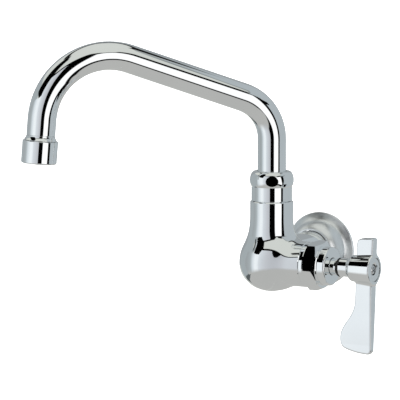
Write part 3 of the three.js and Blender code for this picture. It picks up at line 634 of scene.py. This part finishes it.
# ---- Wall flange: stations run out from the wall --------------------------------------------
FLANGE_RADIUS = 25.4
FLANGE_INNER_RADIUS = FLANGE_RADIUS - 3
FLANGE_EDGE_RADIUS = FLANGE_RADIUS - 0.4
FLANGE_EDGE_DEPTH = 2.1
FLANGE_DOME_RADIUS = 20.4
FLANGE_DOME_DEPTH = 4.9
FLANGE_DEPTH = 15.8
FLANGE_BORE = INLET_RADIUS + CLEARANCE
turned(
    "flange_shell",
    [(FLANGE_INNER_RADIUS, 0), (FLANGE_RADIUS, 0, 0.5), (FLANGE_RADIUS, 1.7, 0.5),
     (FLANGE_EDGE_RADIUS, FLANGE_EDGE_DEPTH, 0)]
    + bezier([(FLANGE_EDGE_RADIUS, FLANGE_EDGE_DEPTH), (22, 3.4),
              (FLANGE_DOME_RADIUS, FLANGE_DOME_DEPTH)], 10)
    + bezier([(FLANGE_DOME_RADIUS, FLANGE_DOME_DEPTH), (20.2, 9), (18.4, 13.4),
              (15.6, FLANGE_DEPTH - 0.3)], 24)
    + [(FLANGE_BORE, FLANGE_DEPTH), (FLANGE_BORE, 10), (17.8, 8), (18.4, 4),
       (FLANGE_INNER_RADIUS, 1.4), (FLANGE_INNER_RADIUS, 0)],
    FROM_WALL, "faucet", CHROME_FLANGE, ["wall_flange"], sides=128,
)

# ---- Bonnet nut -----------------------------------------------------------------------------
HEX_CORNER = 17.2
HEX_START_X = 30.6
HEX_END_X = 39.4
HEX_FIRST_CORNER = math.radians(-6)  # above level, on the room side of the valve axis
BONNET_SIDES = 144
BONNET_START_X = 28.0
BONNET_CAP_RADIUS = 12.8
BONNET_END_X = 45.6
BONNET_THREAD_RADIUS = 12.8
BONNET_THREAD_END_X = 39.0
BONNET_CHAMBER_RADIUS = 8.9
BONNET_CHAMBER_END_X = 43.2
BONNET_NECK_RADIUS = 5.8
# Each chamfer cone's two rims, as radius and distance from the hexagon's start or from its end.
HEX_CHAMFERS = ((15.1, 0.0), (17.4, 1.7), (17.4, -1.9), (14.5, 0.0))


def hex_radius(angle):
    """Radius of the hexagon at an angle from its first corner."""
    within = (angle % (math.pi / 3)) - math.pi / 6
    return HEX_CORNER * math.cos(math.pi / 6) / math.cos(within)


def bonnet_points():
    """The nut's rings; on the hexagon each meridian turns where the chamfer cone meets its flat."""
    collar = rounded([(PORT_RADIUS, BONNET_START_X), (PORT_RADIUS, HEX_START_X - 0.5, 0),
                      (PORT_RADIUS - 0.3, HEX_START_X)])
    cap = rounded([
        (BONNET_CAP_RADIUS + 0.4, HEX_END_X), (BONNET_CAP_RADIUS, HEX_END_X + 0.4, 0),
        (BONNET_CAP_RADIUS, BONNET_END_X, 1.4), (BONNET_NECK_RADIUS, BONNET_END_X, 0.3),
        (BONNET_NECK_RADIUS, BONNET_CHAMBER_END_X), (BONNET_CHAMBER_RADIUS, BONNET_CHAMBER_END_X),
        (BONNET_CHAMBER_RADIUS, BONNET_THREAD_END_X), (BONNET_THREAD_RADIUS, BONNET_THREAD_END_X),
        (BONNET_THREAD_RADIUS, BONNET_START_X),
    ])
    (r0, _), (r1, d1), (r2, d2), (r3, _) = HEX_CHAMFERS

    def inner_meet(angle):
        share = (min(hex_radius(angle), r1) - r0) / (r1 - r0)
        return HEX_START_X + max(share, 0) * d1

    def outer_meet(angle):
        share = (r2 - min(hex_radius(angle), r2)) / (r2 - r3)
        return HEX_END_X + d2 + min(share, 1) * (-d2)

    rows = [lambda a, r=r, s=s: (r, s) for r, s in collar]
    rows += [
        lambda a: (min(hex_radius(a), r0), HEX_START_X),
        lambda a: (min(hex_radius(a), r1), inner_meet(a)),
        lambda a: (min(hex_radius(a), r2), outer_meet(a)),
        lambda a: (r3, HEX_END_X),
    ]
    rows += [lambda a, r=r, s=s: (r, s) for r, s in cap]
    verts = []
    for row in rows:
        for k in range(BONNET_SIDES):
            angle = 2 * math.pi * k / BONNET_SIDES
            radius, station = row(angle)
            turn = angle + HEX_FIRST_CORNER
            verts.append((station, -radius * math.cos(turn), radius * math.sin(turn)))
    return np.array(verts), ring_faces(len(rows), BONNET_SIDES)


bonnet_verts, bonnet_faces = bonnet_points()
finish_mesh("bonnet_hex_nut", bonnet_verts + np.array(CROSSING) / MM, bonnet_faces,
            "faucet", CHROME, ["bonnet_nut"], sharp=22)

# ---- Swivel nut -----------------------------------------------------------------------------
NUT_BORE_RADIUS = 12.4
NUT_COLLAR_RADIUS = 13.5
NUT_RING_RADIUS = 14.6
NUT_RING_START_Z = 50.4
NUT_TOP_Z = 60.7
NUT_LIP_Z = 57.4
NUT_BARREL_RADIUS = 9.4  # the ring's own curve, up and down
NUT_BARREL_Z = 54.7
NUT_CROWN_Z = 58.2  # above this the ring rounds over to its top
NUT_FLAT_DISTANCE = 13.95
NUT_FLAT_FACING = math.radians(29)  # of the first flat, counterclockwise from -Y
NUT_FLAT_SOFTNESS = 0.12
NUT_TUBE_GAP = 0.45


def nut_barrel(z):
    return NUT_RING_RADIUS - (z - NUT_BARREL_Z) ** 2 / (2 * NUT_BARREL_RADIUS)


def nut_flat_change(radius, station, angle):
    """How far a flat cuts into the ring at an angle counterclockwise from +X."""
    if radius <= NUT_COLLAR_RADIUS or station < NUT_RING_START_Z:
        return 0
    from_flat = (angle + math.pi / 2 - NUT_FLAT_FACING) % (math.pi / 3)
    from_flat = min(from_flat, math.pi / 3 - from_flat)
    flat = NUT_FLAT_DISTANCE / math.cos(from_flat)
    return float(smooth_min(np.float64(radius), np.float64(flat), NUT_FLAT_SOFTNESS)) - radius


NUT_START_Z = NECK_TOP_Z + 0.3
nut_ring = [(nut_barrel(z), z, 0) for z in np.linspace(NUT_RING_START_Z + 0.4, NUT_CROWN_Z, 28)]
crown_radius = nut_barrel(NUT_CROWN_Z)
crown = bezier([(crown_radius, NUT_CROWN_Z), (crown_radius - 0.55, NUT_CROWN_Z + 1.5),
                (12.4, NUT_TOP_Z), (11.2, NUT_TOP_Z)], 14)
turned(
    "swivel_nut_shell",
    [(NUT_BORE_RADIUS, NUT_START_Z), (NUT_COLLAR_RADIUS, NUT_START_Z, 0.3),
     (NUT_COLLAR_RADIUS, NUT_RING_START_Z, 0), (nut_ring[0][0] - 0.25, NUT_RING_START_Z, 0)]
    + nut_ring + [(r, z, 0) for r, z in crown]
    + [(TUBE_RADIUS + NUT_TUBE_GAP, NUT_TOP_Z, 0.3), (TUBE_RADIUS + NUT_TUBE_GAP, NUT_LIP_Z),
       (NUT_BORE_RADIUS, NUT_LIP_Z), (NUT_BORE_RADIUS, NUT_START_Z)],
    UPRIGHT, "faucet", CHROME, ["swivel_nut"],
    sides=300, radius_change=nut_flat_change,
)


# ---- Spout tube -----------------------------------------------------------------------------
TUBE_SIDES = 96
TUBE_END_ROUND = 0.2
TUBE_STEP = math.radians(2.5)  # the most that one piece of a bend turns


def spout_centreline():
    """Points and headings of the tube's middle in its own XZ plane; it reaches along -X."""
    lower_turn = math.pi / 2 - RISE_ANGLE
    outlet_turn = math.pi / 2 + RISE_ANGLE - OUTLET_LEAN
    runs = [
        (LOWER_BEND_START_Z - TUBE_FOOT_Z, 0),
        (LOWER_BEND_RADIUS * lower_turn, lower_turn),
        (STRAIGHT_RUN, 0),
        (OUTLET_BEND_RADIUS * outlet_turn, outlet_turn),
        (OUTLET_LEG, 0),
    ]
    x, z, heading = 0.0, TUBE_FOOT_Z, 0.0
    spots = [(x, z, heading)]
    for length, turn in runs:
        steps = max(2, math.ceil(abs(turn) / TUBE_STEP))
        for _ in range(steps):
            part, bend = length / steps, turn / steps
            chord = part * (2 * math.sin(bend / 2) / bend if bend else 1)
            x -= chord * math.sin(heading + bend / 2)
            z += chord * math.cos(heading + bend / 2)
            heading += bend
            spots.append((x, z, heading))
    return spots


CENTRELINE = spout_centreline()


def tube_ring(spot, radius, shift=0.0):
    """Points round the tube's middle at a spot, moved along the tube by a shift."""
    x, z, heading = spot
    along = np.array([-math.sin(heading), 0, math.cos(heading)])
    across = np.array([math.cos(heading), 0, math.sin(heading)])
    sideways = np.array([0, 1, 0])
    centre = np.array([x, 0, z]) + along * shift
    angles = [2 * math.pi * k / TUBE_SIDES for k in range(TUBE_SIDES)]
    return [centre + radius * (across * math.cos(a) + sideways * math.sin(a)) for a in angles]


def tube_points():
    """The tube's rings: up its outside with rounded ends, and back down its bore."""
    inner = TUBE_RADIUS - TUBE_WALL
    first, last = CENTRELINE[0], CENTRELINE[-1]
    rings = [tube_ring(first, TUBE_RADIUS - TUBE_END_ROUND)]
    rings += [tube_ring(first, TUBE_RADIUS, TUBE_END_ROUND)]
    rings += [tube_ring(spot, TUBE_RADIUS) for spot in CENTRELINE[1:-1]]
    rings += [tube_ring(last, TUBE_RADIUS, -TUBE_END_ROUND)]
    rings += [tube_ring(last, TUBE_RADIUS - TUBE_END_ROUND)]
    rings += [tube_ring(spot, inner) for spot in CENTRELINE[::-1]]
    return np.concatenate(rings), ring_faces(len(rings), TUBE_SIDES)


tube_verts, tube_faces = tube_points()
finish_mesh("spout_pipe", placed(tube_verts, SPOUT), tube_faces,
            "spout", CHROME, ["spout_tube"])

# ---- Outlet: stations run down from the end of the tube -------------------------------------
OUTLET_X, OUTLET_Z, _ = CENTRELINE[-1]
OUTLET = (SPOUT @ Matrix.Translation((OUTLET_X, 0, OUTLET_Z)) @ Matrix.Rotation(OUTLET_LEAN, 4, "Y")
          @ Matrix.Rotation(math.pi, 4, "X"))
FLARE_START = 0.3
FLARE_END = 3.3
FLARE_RADIUS = 10.7
THREAD_RADIUS = 9.8
THREAD_END = 11
PLUG_RADIUS = TUBE_RADIUS - TUBE_WALL - CLEARANCE
PLUG_START = -7
ADAPTER_BORE_RADIUS = 7
turned(
    "outlet_flare",
    [(PLUG_RADIUS, PLUG_START), (PLUG_RADIUS, FLARE_START, 0), (TUBE_RADIUS, FLARE_START, 0.1)]
    + bezier([(TUBE_RADIUS, FLARE_START + 0.1), (TUBE_RADIUS + 0.2, 1.8),
              (FLARE_RADIUS, FLARE_END - 0.2)], 10)
    + [(FLARE_RADIUS, FLARE_END, 0.15), (THREAD_RADIUS, FLARE_END), (THREAD_RADIUS, THREAD_END),
       (ADAPTER_BORE_RADIUS, THREAD_END), (ADAPTER_BORE_RADIUS, PLUG_START),
       (PLUG_RADIUS, PLUG_START)],
    OUTLET, "spout", CHROME, ["outlet_adapter"],
)
CAP_TOP = FLARE_END + 0.3
CAP_BOTTOM = CAP_TOP + 14.9
CAP_RADIUS = 11.6
CAP_BORE_RADIUS = THREAD_RADIUS + CLEARANCE
CAP_LIP_RADIUS = 8.6
CAP_LIP_TOP = CAP_BOTTOM - 1.5
turned(
    "aerator_shell",
    [(CAP_BORE_RADIUS, CAP_TOP), (CAP_RADIUS, CAP_TOP, 0.35), (CAP_RADIUS, CAP_BOTTOM, 1.1),
     (CAP_LIP_RADIUS, CAP_BOTTOM, 0.5), (CAP_LIP_RADIUS, CAP_LIP_TOP),
     (CAP_BORE_RADIUS, CAP_LIP_TOP), (CAP_BORE_RADIUS, CAP_TOP)],
    OUTLET, "spout", CHROME, ["aerator_housing"],
)

# ---- Lever handle ---------------------------------------------------------------------------
SKIRT_END_X = 57.6
HUB_START_X = 61.6
HUB_START_RADIUS = 8.8
HUB_FLARE = np.array(
    [(40, SKIRT_RADIUS), (SKIRT_END_X, SKIRT_RADIUS)]
    + bezier([(SKIRT_END_X, SKIRT_RADIUS), (59.6, SKIRT_RADIUS), (59, 8.7),
              (HUB_START_X, HUB_START_RADIUS)], 60)
    + [(HUB_FACE_X - 1, HUB_RADIUS), (90, HUB_RADIUS)]
)
HUB_STEEPNESS = 0.93  # brings the flared hub's field nearer to a distance
HANDLE_EDGE = 1.6
HANDLE_FILLET = 2.2


def blade_outline():
    """The two blades in the XZ plane through the hub: a short one up and a long one down."""
    points = [(75.9, 0), (76.7, BLADE_TOP_Z - 1.5)]
    points += bezier([points[-1], (76.7, BLADE_TOP_Z), (75, BLADE_TOP_Z)], 12)
    points += [(68.5, BLADE_TOP_Z - 0.3)]
    points += bezier([points[-1], (64.8, BLADE_TOP_Z - 0.8), (64.7, 17)], 12)
    points += [(64.5, 0), (63.7, -19)]
    points += bezier([points[-1], (63.7, -33), (52.3, -36), (52.3, -47)], 40)
    points += bezier([points[-1], (52.3, -52), (56, -53.4)], 16)
    points += bezier([points[-1], (63, BLADE_TIP_Z + 0.2), (72, BLADE_TIP_Z)], 16)
    points += bezier([points[-1], (75.1, BLADE_TIP_Z), (75.2, -52.5)], 16)
    return np.array(points, float)


OUTLINE = blade_outline()
# Height and half thickness.
BLADE_HALF_THICKNESS = np.array(
    [(-56.5, 2.2), (-50, 2.4), (-17, 3.9), (2, 3.9), (10, 3.5), (21, 3.4)])


def handle_field(p):
    x, y, z = p[:, 0], p[:, 1], p[:, 2]
    hub = np.hypot(y, z) - np.interp(x, HUB_FLARE[:, 0], HUB_FLARE[:, 1])
    hub = smooth_max(hub * HUB_STEEPNESS, x - HUB_FACE_X, HANDLE_EDGE)
    hub = np.maximum(hub, SKIRT_START_X - x)
    half = np.interp(z, BLADE_HALF_THICKNESS[:, 0], BLADE_HALF_THICKNESS[:, 1])
    blades = smooth_max(polygon_distance(OUTLINE, x, z), np.abs(y) - half, HANDLE_EDGE)
    return smooth_min(hub, blades, HANDLE_FILLET)


SKIRT_BORE_RADIUS = 4.95
STEM_BORE_RADIUS = 3.9
STEM_BORE_END_X = 66.8
SCREW_HOLE_RADIUS = 2
SCREW_SEAT_RADIUS = 3.5
INDEX_SEAT_RADIUS = INDEX_RADIUS + CLEARANCE
HANDLE_BORES = [
    (0, SKIRT_START_X - 2), (SKIRT_BORE_RADIUS, SKIRT_START_X - 2), (SKIRT_BORE_RADIUS, 54.5),
    (STEM_BORE_RADIUS, 55), (STEM_BORE_RADIUS, STEM_BORE_END_X),
    (SCREW_HOLE_RADIUS, STEM_BORE_END_X), (SCREW_HOLE_RADIUS, SCREW_SEAT_X),
    (SCREW_SEAT_RADIUS, SCREW_SEAT_X), (SCREW_SEAT_RADIUS, INDEX_SEAT_X),
    (INDEX_SEAT_RADIUS, INDEX_SEAT_X),
    (INDEX_SEAT_RADIUS, HUB_FACE_X + 3), (0, HUB_FACE_X + 3),
]
HANDLE_BOX = ((50.8, -11.5, -57.5), (78, 11.5, 22))
HANDLE_CELL = 0.5
sculpted(
    "lever_casting", handle_field, HANDLE_BOX, HANDLE_CELL, [(HANDLE_BORES, ALONG_X, 64)],
    "lever", CHROME, ["lever_handle"],
)
INDEX_BACK_X = 75.1
INDEX_FACE_X = HUB_FACE_X - 0.4
INDEX_BORE_RADIUS = SCREW_HEAD_RADIUS + 0.5
turned(
    "index_ring",
    [(INDEX_BORE_RADIUS, INDEX_BACK_X), (INDEX_RADIUS, INDEX_BACK_X),
     (INDEX_RADIUS, INDEX_FACE_X, 0.2), (SCREW_HEAD_RADIUS + 1.7, INDEX_FACE_X, 0.2),
     (INDEX_BORE_RADIUS, 75.5, 0.2), (INDEX_BORE_RADIUS, INDEX_BACK_X)],
    ALONG_X, "lever", CHROME_FACE, ["handle_index"], sides=72,
)

SCREW_TIP_X = 57
SCREW_HEAD_X = SCREW_SEAT_X + 0.3
SCREW_TOP_X = HUB_FACE_X - 0.6
# The cross: length, width and height above the screw's top, at its mouth and at its floor.
CROSS_MOUTH = (4.4, 1.15, 0.6)
CROSS_FLOOR = (2.4, 0.7, -2.4)
CROSS_TURNS = (20, 110)


def cross_slot(turn):
    """A tapered slot across the screw's head, turned about its axis."""
    work = bmesh.new()
    bmesh.ops.create_cube(work, size=1)
    for v in work.verts:
        length, width, height = CROSS_FLOOR if v.co.z < 0 else CROSS_MOUTH
        v.co = Vector((v.co.x * length, v.co.y * width, SCREW_TOP_X + height))
    bmesh.ops.rotate(work, verts=work.verts, cent=(0, 0, 0),
                     matrix=Matrix.Rotation(math.radians(turn), 3, "Z"))
    mesh = bpy.data.meshes.new("cutter")
    work.to_mesh(mesh)
    work.free()
    return linked("cutter", mesh)


def cross_screw():
    """The screw's turned blank with a tapered cross cut into its head."""
    profile = [
        (0, SCREW_TIP_X), (1.2, SCREW_TIP_X), (SCREW_RADIUS, SCREW_TIP_X + 0.8),
        (SCREW_RADIUS, SCREW_HEAD_X), (SCREW_HEAD_RADIUS, SCREW_HEAD_X),
        (SCREW_HEAD_RADIUS, SCREW_TOP_X - 0.9, 0.3),
        (SCREW_HEAD_RADIUS - 1.2, SCREW_TOP_X, 0.8), (0, SCREW_TOP_X),
    ]
    verts, faces = turned_points(rounded(profile), 48)
    piece = linked("handle_cross_screw", solid_mesh("handle_cross_screw", verts, faces))
    result = cut_out(piece, [cross_slot(turn) for turn in CROSS_TURNS])
    result.transform(Matrix.Translation(CROSSING) @ Matrix.Scale(MM, 4) @ ALONG_X)
    dress(piece, "lever", STEEL_BRIGHT, ["handle_screw"], sharp=30)


cross_screw()
SEAL_BORE_RADIUS = 5.1
SEAL_START_X = 50.5
SEAL_END_X = 51.6
turned(
    "dust_ring_seal",
    [(SEAL_BORE_RADIUS, SEAL_START_X), (6.0, SEAL_START_X, 0.3), (6.3, 51.05, 0.3),
     (6.0, SEAL_END_X, 0.3), (SEAL_BORE_RADIUS, SEAL_END_X), (SEAL_BORE_RADIUS, SEAL_START_X)],
    ALONG_X, "lever", RUBBER, ["handle_dust_ring"], sides=72,
)


# ---- Camera: lengths in metres from here on -------------------------------------------------
CAMERA_AZIMUTH = math.radians(30)  # to the right of straight in front
CAMERA_ELEVATION = math.radians(7)
CAMERA_DISTANCE = 1.8
VIEW_WIDTH = 0.2656  # across the picture at the object
SENSOR_WIDTH = 36  # millimetres
TO_CAMERA = Vector((math.sin(CAMERA_AZIMUTH) * math.cos(CAMERA_ELEVATION),
                    -math.cos(CAMERA_AZIMUTH) * math.cos(CAMERA_ELEVATION),
                    math.sin(CAMERA_ELEVATION)))
VIEW_RIGHT = Vector((math.cos(CAMERA_AZIMUTH), math.sin(CAMERA_AZIMUTH), 0))
VIEW_UP = TO_CAMERA.cross(VIEW_RIGHT)
AIM_LEFT = 0.0475  # of the crossing
AIM_RISE = 0.0408
AIM = CROSSING - VIEW_RIGHT * AIM_LEFT + VIEW_UP * AIM_RISE


def add_camera():
    lens = bpy.data.cameras.new("camera")
    lens.sensor_width = SENSOR_WIDTH
    lens.lens = SENSOR_WIDTH * CAMERA_DISTANCE / VIEW_WIDTH
    lens.clip_start = 0.01
    lens.clip_end = 50
    camera = linked("camera", lens)
    turn = Matrix((VIEW_RIGHT, VIEW_UP, TO_CAMERA)).transposed().to_4x4()
    camera.matrix_world = Matrix.Translation(AIM + TO_CAMERA * CAMERA_DISTANCE) @ turn
    bpy.context.scene.camera = camera


add_camera()


# ---- Studio light ---------------------------------------------------------------------------
# A tent around the object, seen only in reflections. Its sheets are drawn as polygons of (azimuth,
# elevation) in degrees about its centre; azimuth 0 is towards the camera and grows to the right.
TENT_CENTRE = CROSSING + Vector((0, 0, 0.06)) - VIEW_RIGHT * 0.05
TENT_RADIUS = 1.6
CEILING_TONE = (0.84, 0.85, 0.83)
FLOOR_TONE = (0.725, 0.725, 0.715)
BACK_TONE = (0.62, 0.64, 0.65)
CARD_TONE = (0.70, 0.73, 0.745)
STRIP_TONE = (0.12, 0.12, 0.12)
BLACK = (0.03, 0.03, 0.03)
TENT_SHEETS = [
    # tone, outline
    (FLOOR_TONE, [(-180, -90), (180, -90), (180, -8), (150, -9), (85, -33), (60, -30), (15, -16),
                  (-12, -17), (-60, -27), (-75, -30), (-120, -38), (-150, -36), (-180, -30)]),
    (BACK_TONE, [(126, -12), (180, -12), (180, 60), (165, 55), (126, 45)]),
    (BACK_TONE, [(-180, -12), (-126, -12), (-125, 25), (-150, 45), (-180, 60)]),
    ((0.66, 0.69, 0.70), [(-150, -36), (-120, -38), (-78, -30), (-75, 0), (-75, 25), (-95, 32),
                          (-125, 30), (-140, 10), (-150, -5)]),
    ((0.36, 0.38, 0.38), [(-155, -40), (-120, -42), (-90, -34), (-70, -26), (-66, -22), (-90, -26),
                          (-120, -33), (-155, -31)]),
    (BLACK, [(-34, 17), (-40, 38), (-48, 60), (-78, 66), (-95, 64), (-90, 46), (-88, 25),
             (-62, 20)]),
    (BLACK, [(-13, -17), (18, -16), (20, 34), (10, 42), (-13, 42)]),
    (BLACK, [(15, -24), (62, -40), (62, -27), (15, -13)]),
    ((0.08, 0.08, 0.08), [(17, 27), (50, 27), (50, 32), (17, 32)]),
    (BLACK, [(28, 31), (50, 29), (66, 29), (66, 37), (48, 40), (30, 36)]),
    ((1.06, 1.06, 1.06), [(17, -15), (62, -29), (52, -7), (50, 28), (17, 28)]),
    (BLACK, [(50, 30), (84, 30), (86, -7), (90, -40), (62, -36), (53, -7), (51, 10)]),
    ((0.55, 0.57, 0.57), [(50, 31), (75, 52), (100, 60), (100, 63), (75, 56), (50, 35)]),
    (CARD_TONE, [(84, 30), (50, 32), (75, 53), (100, 61), (150, 50), (150, -8), (90, -40),
                 (86, -7)]),
    (STRIP_TONE, [(-180, 44), (-95, 58), (-95, 65), (-180, 52)]),
    (STRIP_TONE, [(180, 44), (125, 55), (100, 62), (100, 67), (125, 62), (180, 52)]),
]
SHEET_EDGE = 1.2  # degrees over which a sheet's edge softens
TENT_STEP = 1.0  # degrees from one painted point to the next
SCREEN_GAMMA = 2.2


def linear(tone):
    """Linear light of a tone given as it looks on the screen."""
    return tuple(v**SCREEN_GAMMA for v in tone)


def glow_material(name):
    """Light whose colour is painted on the mesh."""
    material = bpy.data.materials.new(name)
    material.use_nodes = True
    nodes, links = material.node_tree.nodes, material.node_tree.links
    nodes.clear()
    paint = nodes.new("ShaderNodeVertexColor")
    paint.layer_name = "glow"
    light = nodes.new("ShaderNodeEmission")
    links.new(paint.outputs["Color"], light.inputs["Color"])
    output = nodes.new("ShaderNodeOutputMaterial")
    links.new(light.outputs["Emission"], output.inputs["Surface"])
    return material


GLOW = glow_material("studio_glow")


def glowing(name, verts, faces, tones):
    """A studio surface that lights the object and shows in it, and that the camera doesn't see."""
    mesh = bpy.data.meshes.new(name)
    mesh.from_pydata([tuple(v) for v in verts], [], faces)
    paint = mesh.color_attributes.new("glow", "FLOAT_COLOR", "POINT")
    paint.data.foreach_set("color", np.concatenate([tones, np.ones((len(tones), 1))], 1).ravel())
    mesh.polygons.foreach_set("use_smooth", [True] * len(mesh.polygons))
    mesh.materials.append(GLOW)
    sheet = linked(name, mesh)
    sheet.visible_camera = False


def from_camera_side(azimuth, elevation, distance):
    """A place given by degrees to the right of the camera, degrees above level, and distance."""
    a, e = np.radians(azimuth), np.radians(elevation)
    ahead = Vector((TO_CAMERA.x, TO_CAMERA.y, 0)).normalized()
    return (np.multiply.outer(np.cos(e) * np.sin(a), np.array(VIEW_RIGHT))
            + np.multiply.outer(np.cos(e) * np.cos(a), np.array(ahead))
            + np.multiply.outer(np.sin(e), np.array((0, 0, 1)))) * distance


def add_tent():
    azimuths = np.arange(-180, 180, TENT_STEP)
    elevations = np.arange(-90 + TENT_STEP / 2, 90, TENT_STEP)
    across, upward = np.meshgrid(azimuths, elevations)
    across, upward = across.ravel(), upward.ravel()
    tones = np.tile(linear(CEILING_TONE), (len(across), 1))
    for tone, outline in TENT_SHEETS:
        cover = np.clip(0.5 - polygon_distance(outline, across, upward) / SHEET_EDGE, 0, 1)[:, None]
        tones = tones * (1 - cover) + np.array(linear(tone)) * cover
    verts = from_camera_side(across, upward, TENT_RADIUS) + np.array(TENT_CENTRE)
    faces = ring_faces(len(elevations), len(azimuths), closed=False)
    glowing("studio_tent", verts, faces, tones)


def beside_crossing(azimuth, distance, height):
    """A place by its azimuth and distance from the crossing, and its height above it."""
    return np.array(CROSSING) + from_camera_side(azimuth, 0, distance) + np.array((0, 0, height))


# The near card on the right: azimuth, distance, foot and top from the crossing.
RIGHT_CARD = [
    (64, 0.58, -0.20, 0.34),
    (90, 0.60, -0.18, 0.40),
    (118, 0.66, -0.14, 0.44),
    (145, 0.74, -0.10, 0.44),
]


def add_right_card():
    verts = [beside_crossing(azimuth, distance, height)
             for azimuth, distance, *heights in RIGHT_CARD for height in heights]
    faces = [(i, i + 2, i + 3, i + 1) for i in range(0, len(verts) - 2, 2)]
    glowing("studio_right_card", verts, faces, np.tile(linear(CARD_TONE), (len(verts), 1)))


# The near side sheet on the left: azimuth, distance and top from the crossing, its tone, and the
# height of the black rail on its top.
SIDE_SHEET = [
    (-112, 0.66, 0.16, (0.63, 0.65, 0.66), 0),
    (-90, 0.63, 0.24, (0.68, 0.71, 0.72), 0),
    (-76, 0.62, 0.27, (0.87, 0.90, 0.92), 0),
    (-62, 0.64, 0.28, (0.97, 0.99, 1.0), 0),
    (-51, 0.68, 0.31, (0.95, 0.97, 0.985), 0),
    (-46, 0.72, 0.56, (0.87, 0.89, 0.91), 0.08),
    (-38, 0.78, 0.61, (0.84, 0.86, 0.88), 0.09),
    (-25, 0.92, 0.73, (0.79, 0.80, 0.82), 0.13),
    (-12.5, 1.1, 0.87, (0.74, 0.75, 0.77), 0.17),
]
SIDE_SHEET_FOOT = -0.42
SIDE_SHEET_FADE = -0.21  # the sheet fades into the floor's tone from here down
FADE_STRIP, SHEET_STRIP, RAIL_STRIP = 0, 1, 3  # the first row of each strip that is filled


def add_side_sheet():
    verts, tones = [], []
    for azimuth, distance, top, tone, rail in SIDE_SHEET:
        rows = ((SIDE_SHEET_FOOT, FLOOR_TONE), (SIDE_SHEET_FADE, tone), (top, tone),
                (top, BLACK), (top + rail, BLACK))
        for height, row_tone in rows:
            verts.append(beside_crossing(azimuth, distance, height))
            tones.append(linear(row_tone))
    row_count = len(rows)
    faces = []
    for column, (*_, rail) in enumerate(SIDE_SHEET[:-1]):
        near, far = row_count * column, row_count * (column + 1)
        strips = (FADE_STRIP, SHEET_STRIP, RAIL_STRIP) if rail else (FADE_STRIP, SHEET_STRIP)
        faces += [(near + k, far + k, far + k + 1, near + k + 1) for k in strips]
    glowing("studio_side_sheet", verts, faces, np.array(tones))


add_tent()
add_right_card()
add_side_sheet()

# ---- Floor and surroundings -----------------------------------------------------------------
FLOOR_Z = -1.1  # a wall faucet hangs about this high
FLOOR_REACH = 30
WHITE = (1, 1, 1, 1)


def add_floor():
    """A pale floor that glows white to the camera and isn't seen in the chrome."""
    corners = [(-1, -1), (1, -1), (1, 1), (-1, 1)]
    mesh = bpy.data.meshes.new("studio_floor")
    verts = [(x * FLOOR_REACH, y * FLOOR_REACH, FLOOR_Z) for x, y in corners]
    mesh.from_pydata(verts, [], [(0, 1, 2, 3)])
    material, nodes, links, shader, place = new_material("pale_floor")
    pattern = noise(nodes, links, place, 3)
    tone = two_tone(nodes, links, pattern, (0.86, 0.86, 0.86), (0.88, 0.88, 0.88))
    links.new(tone, shader.inputs["Base Color"])
    shader.inputs["Roughness"].default_value = 0.9
    shader.inputs["Emission Color"].default_value = WHITE
    shader.inputs["Emission Strength"].default_value = 1
    mesh.materials.append(material)
    floor = linked("studio_floor", mesh)
    floor.visible_glossy = False


def add_world():
    world = bpy.data.worlds.new("studio")
    bpy.context.scene.world = world
    world.use_nodes = True
    background = world.node_tree.nodes["Background"]
    background.inputs["Color"].default_value = WHITE
    background.inputs["Strength"].default_value = 1


add_floor()
add_world()
bpy.context.scene.view_settings.view_transform = "Standard"
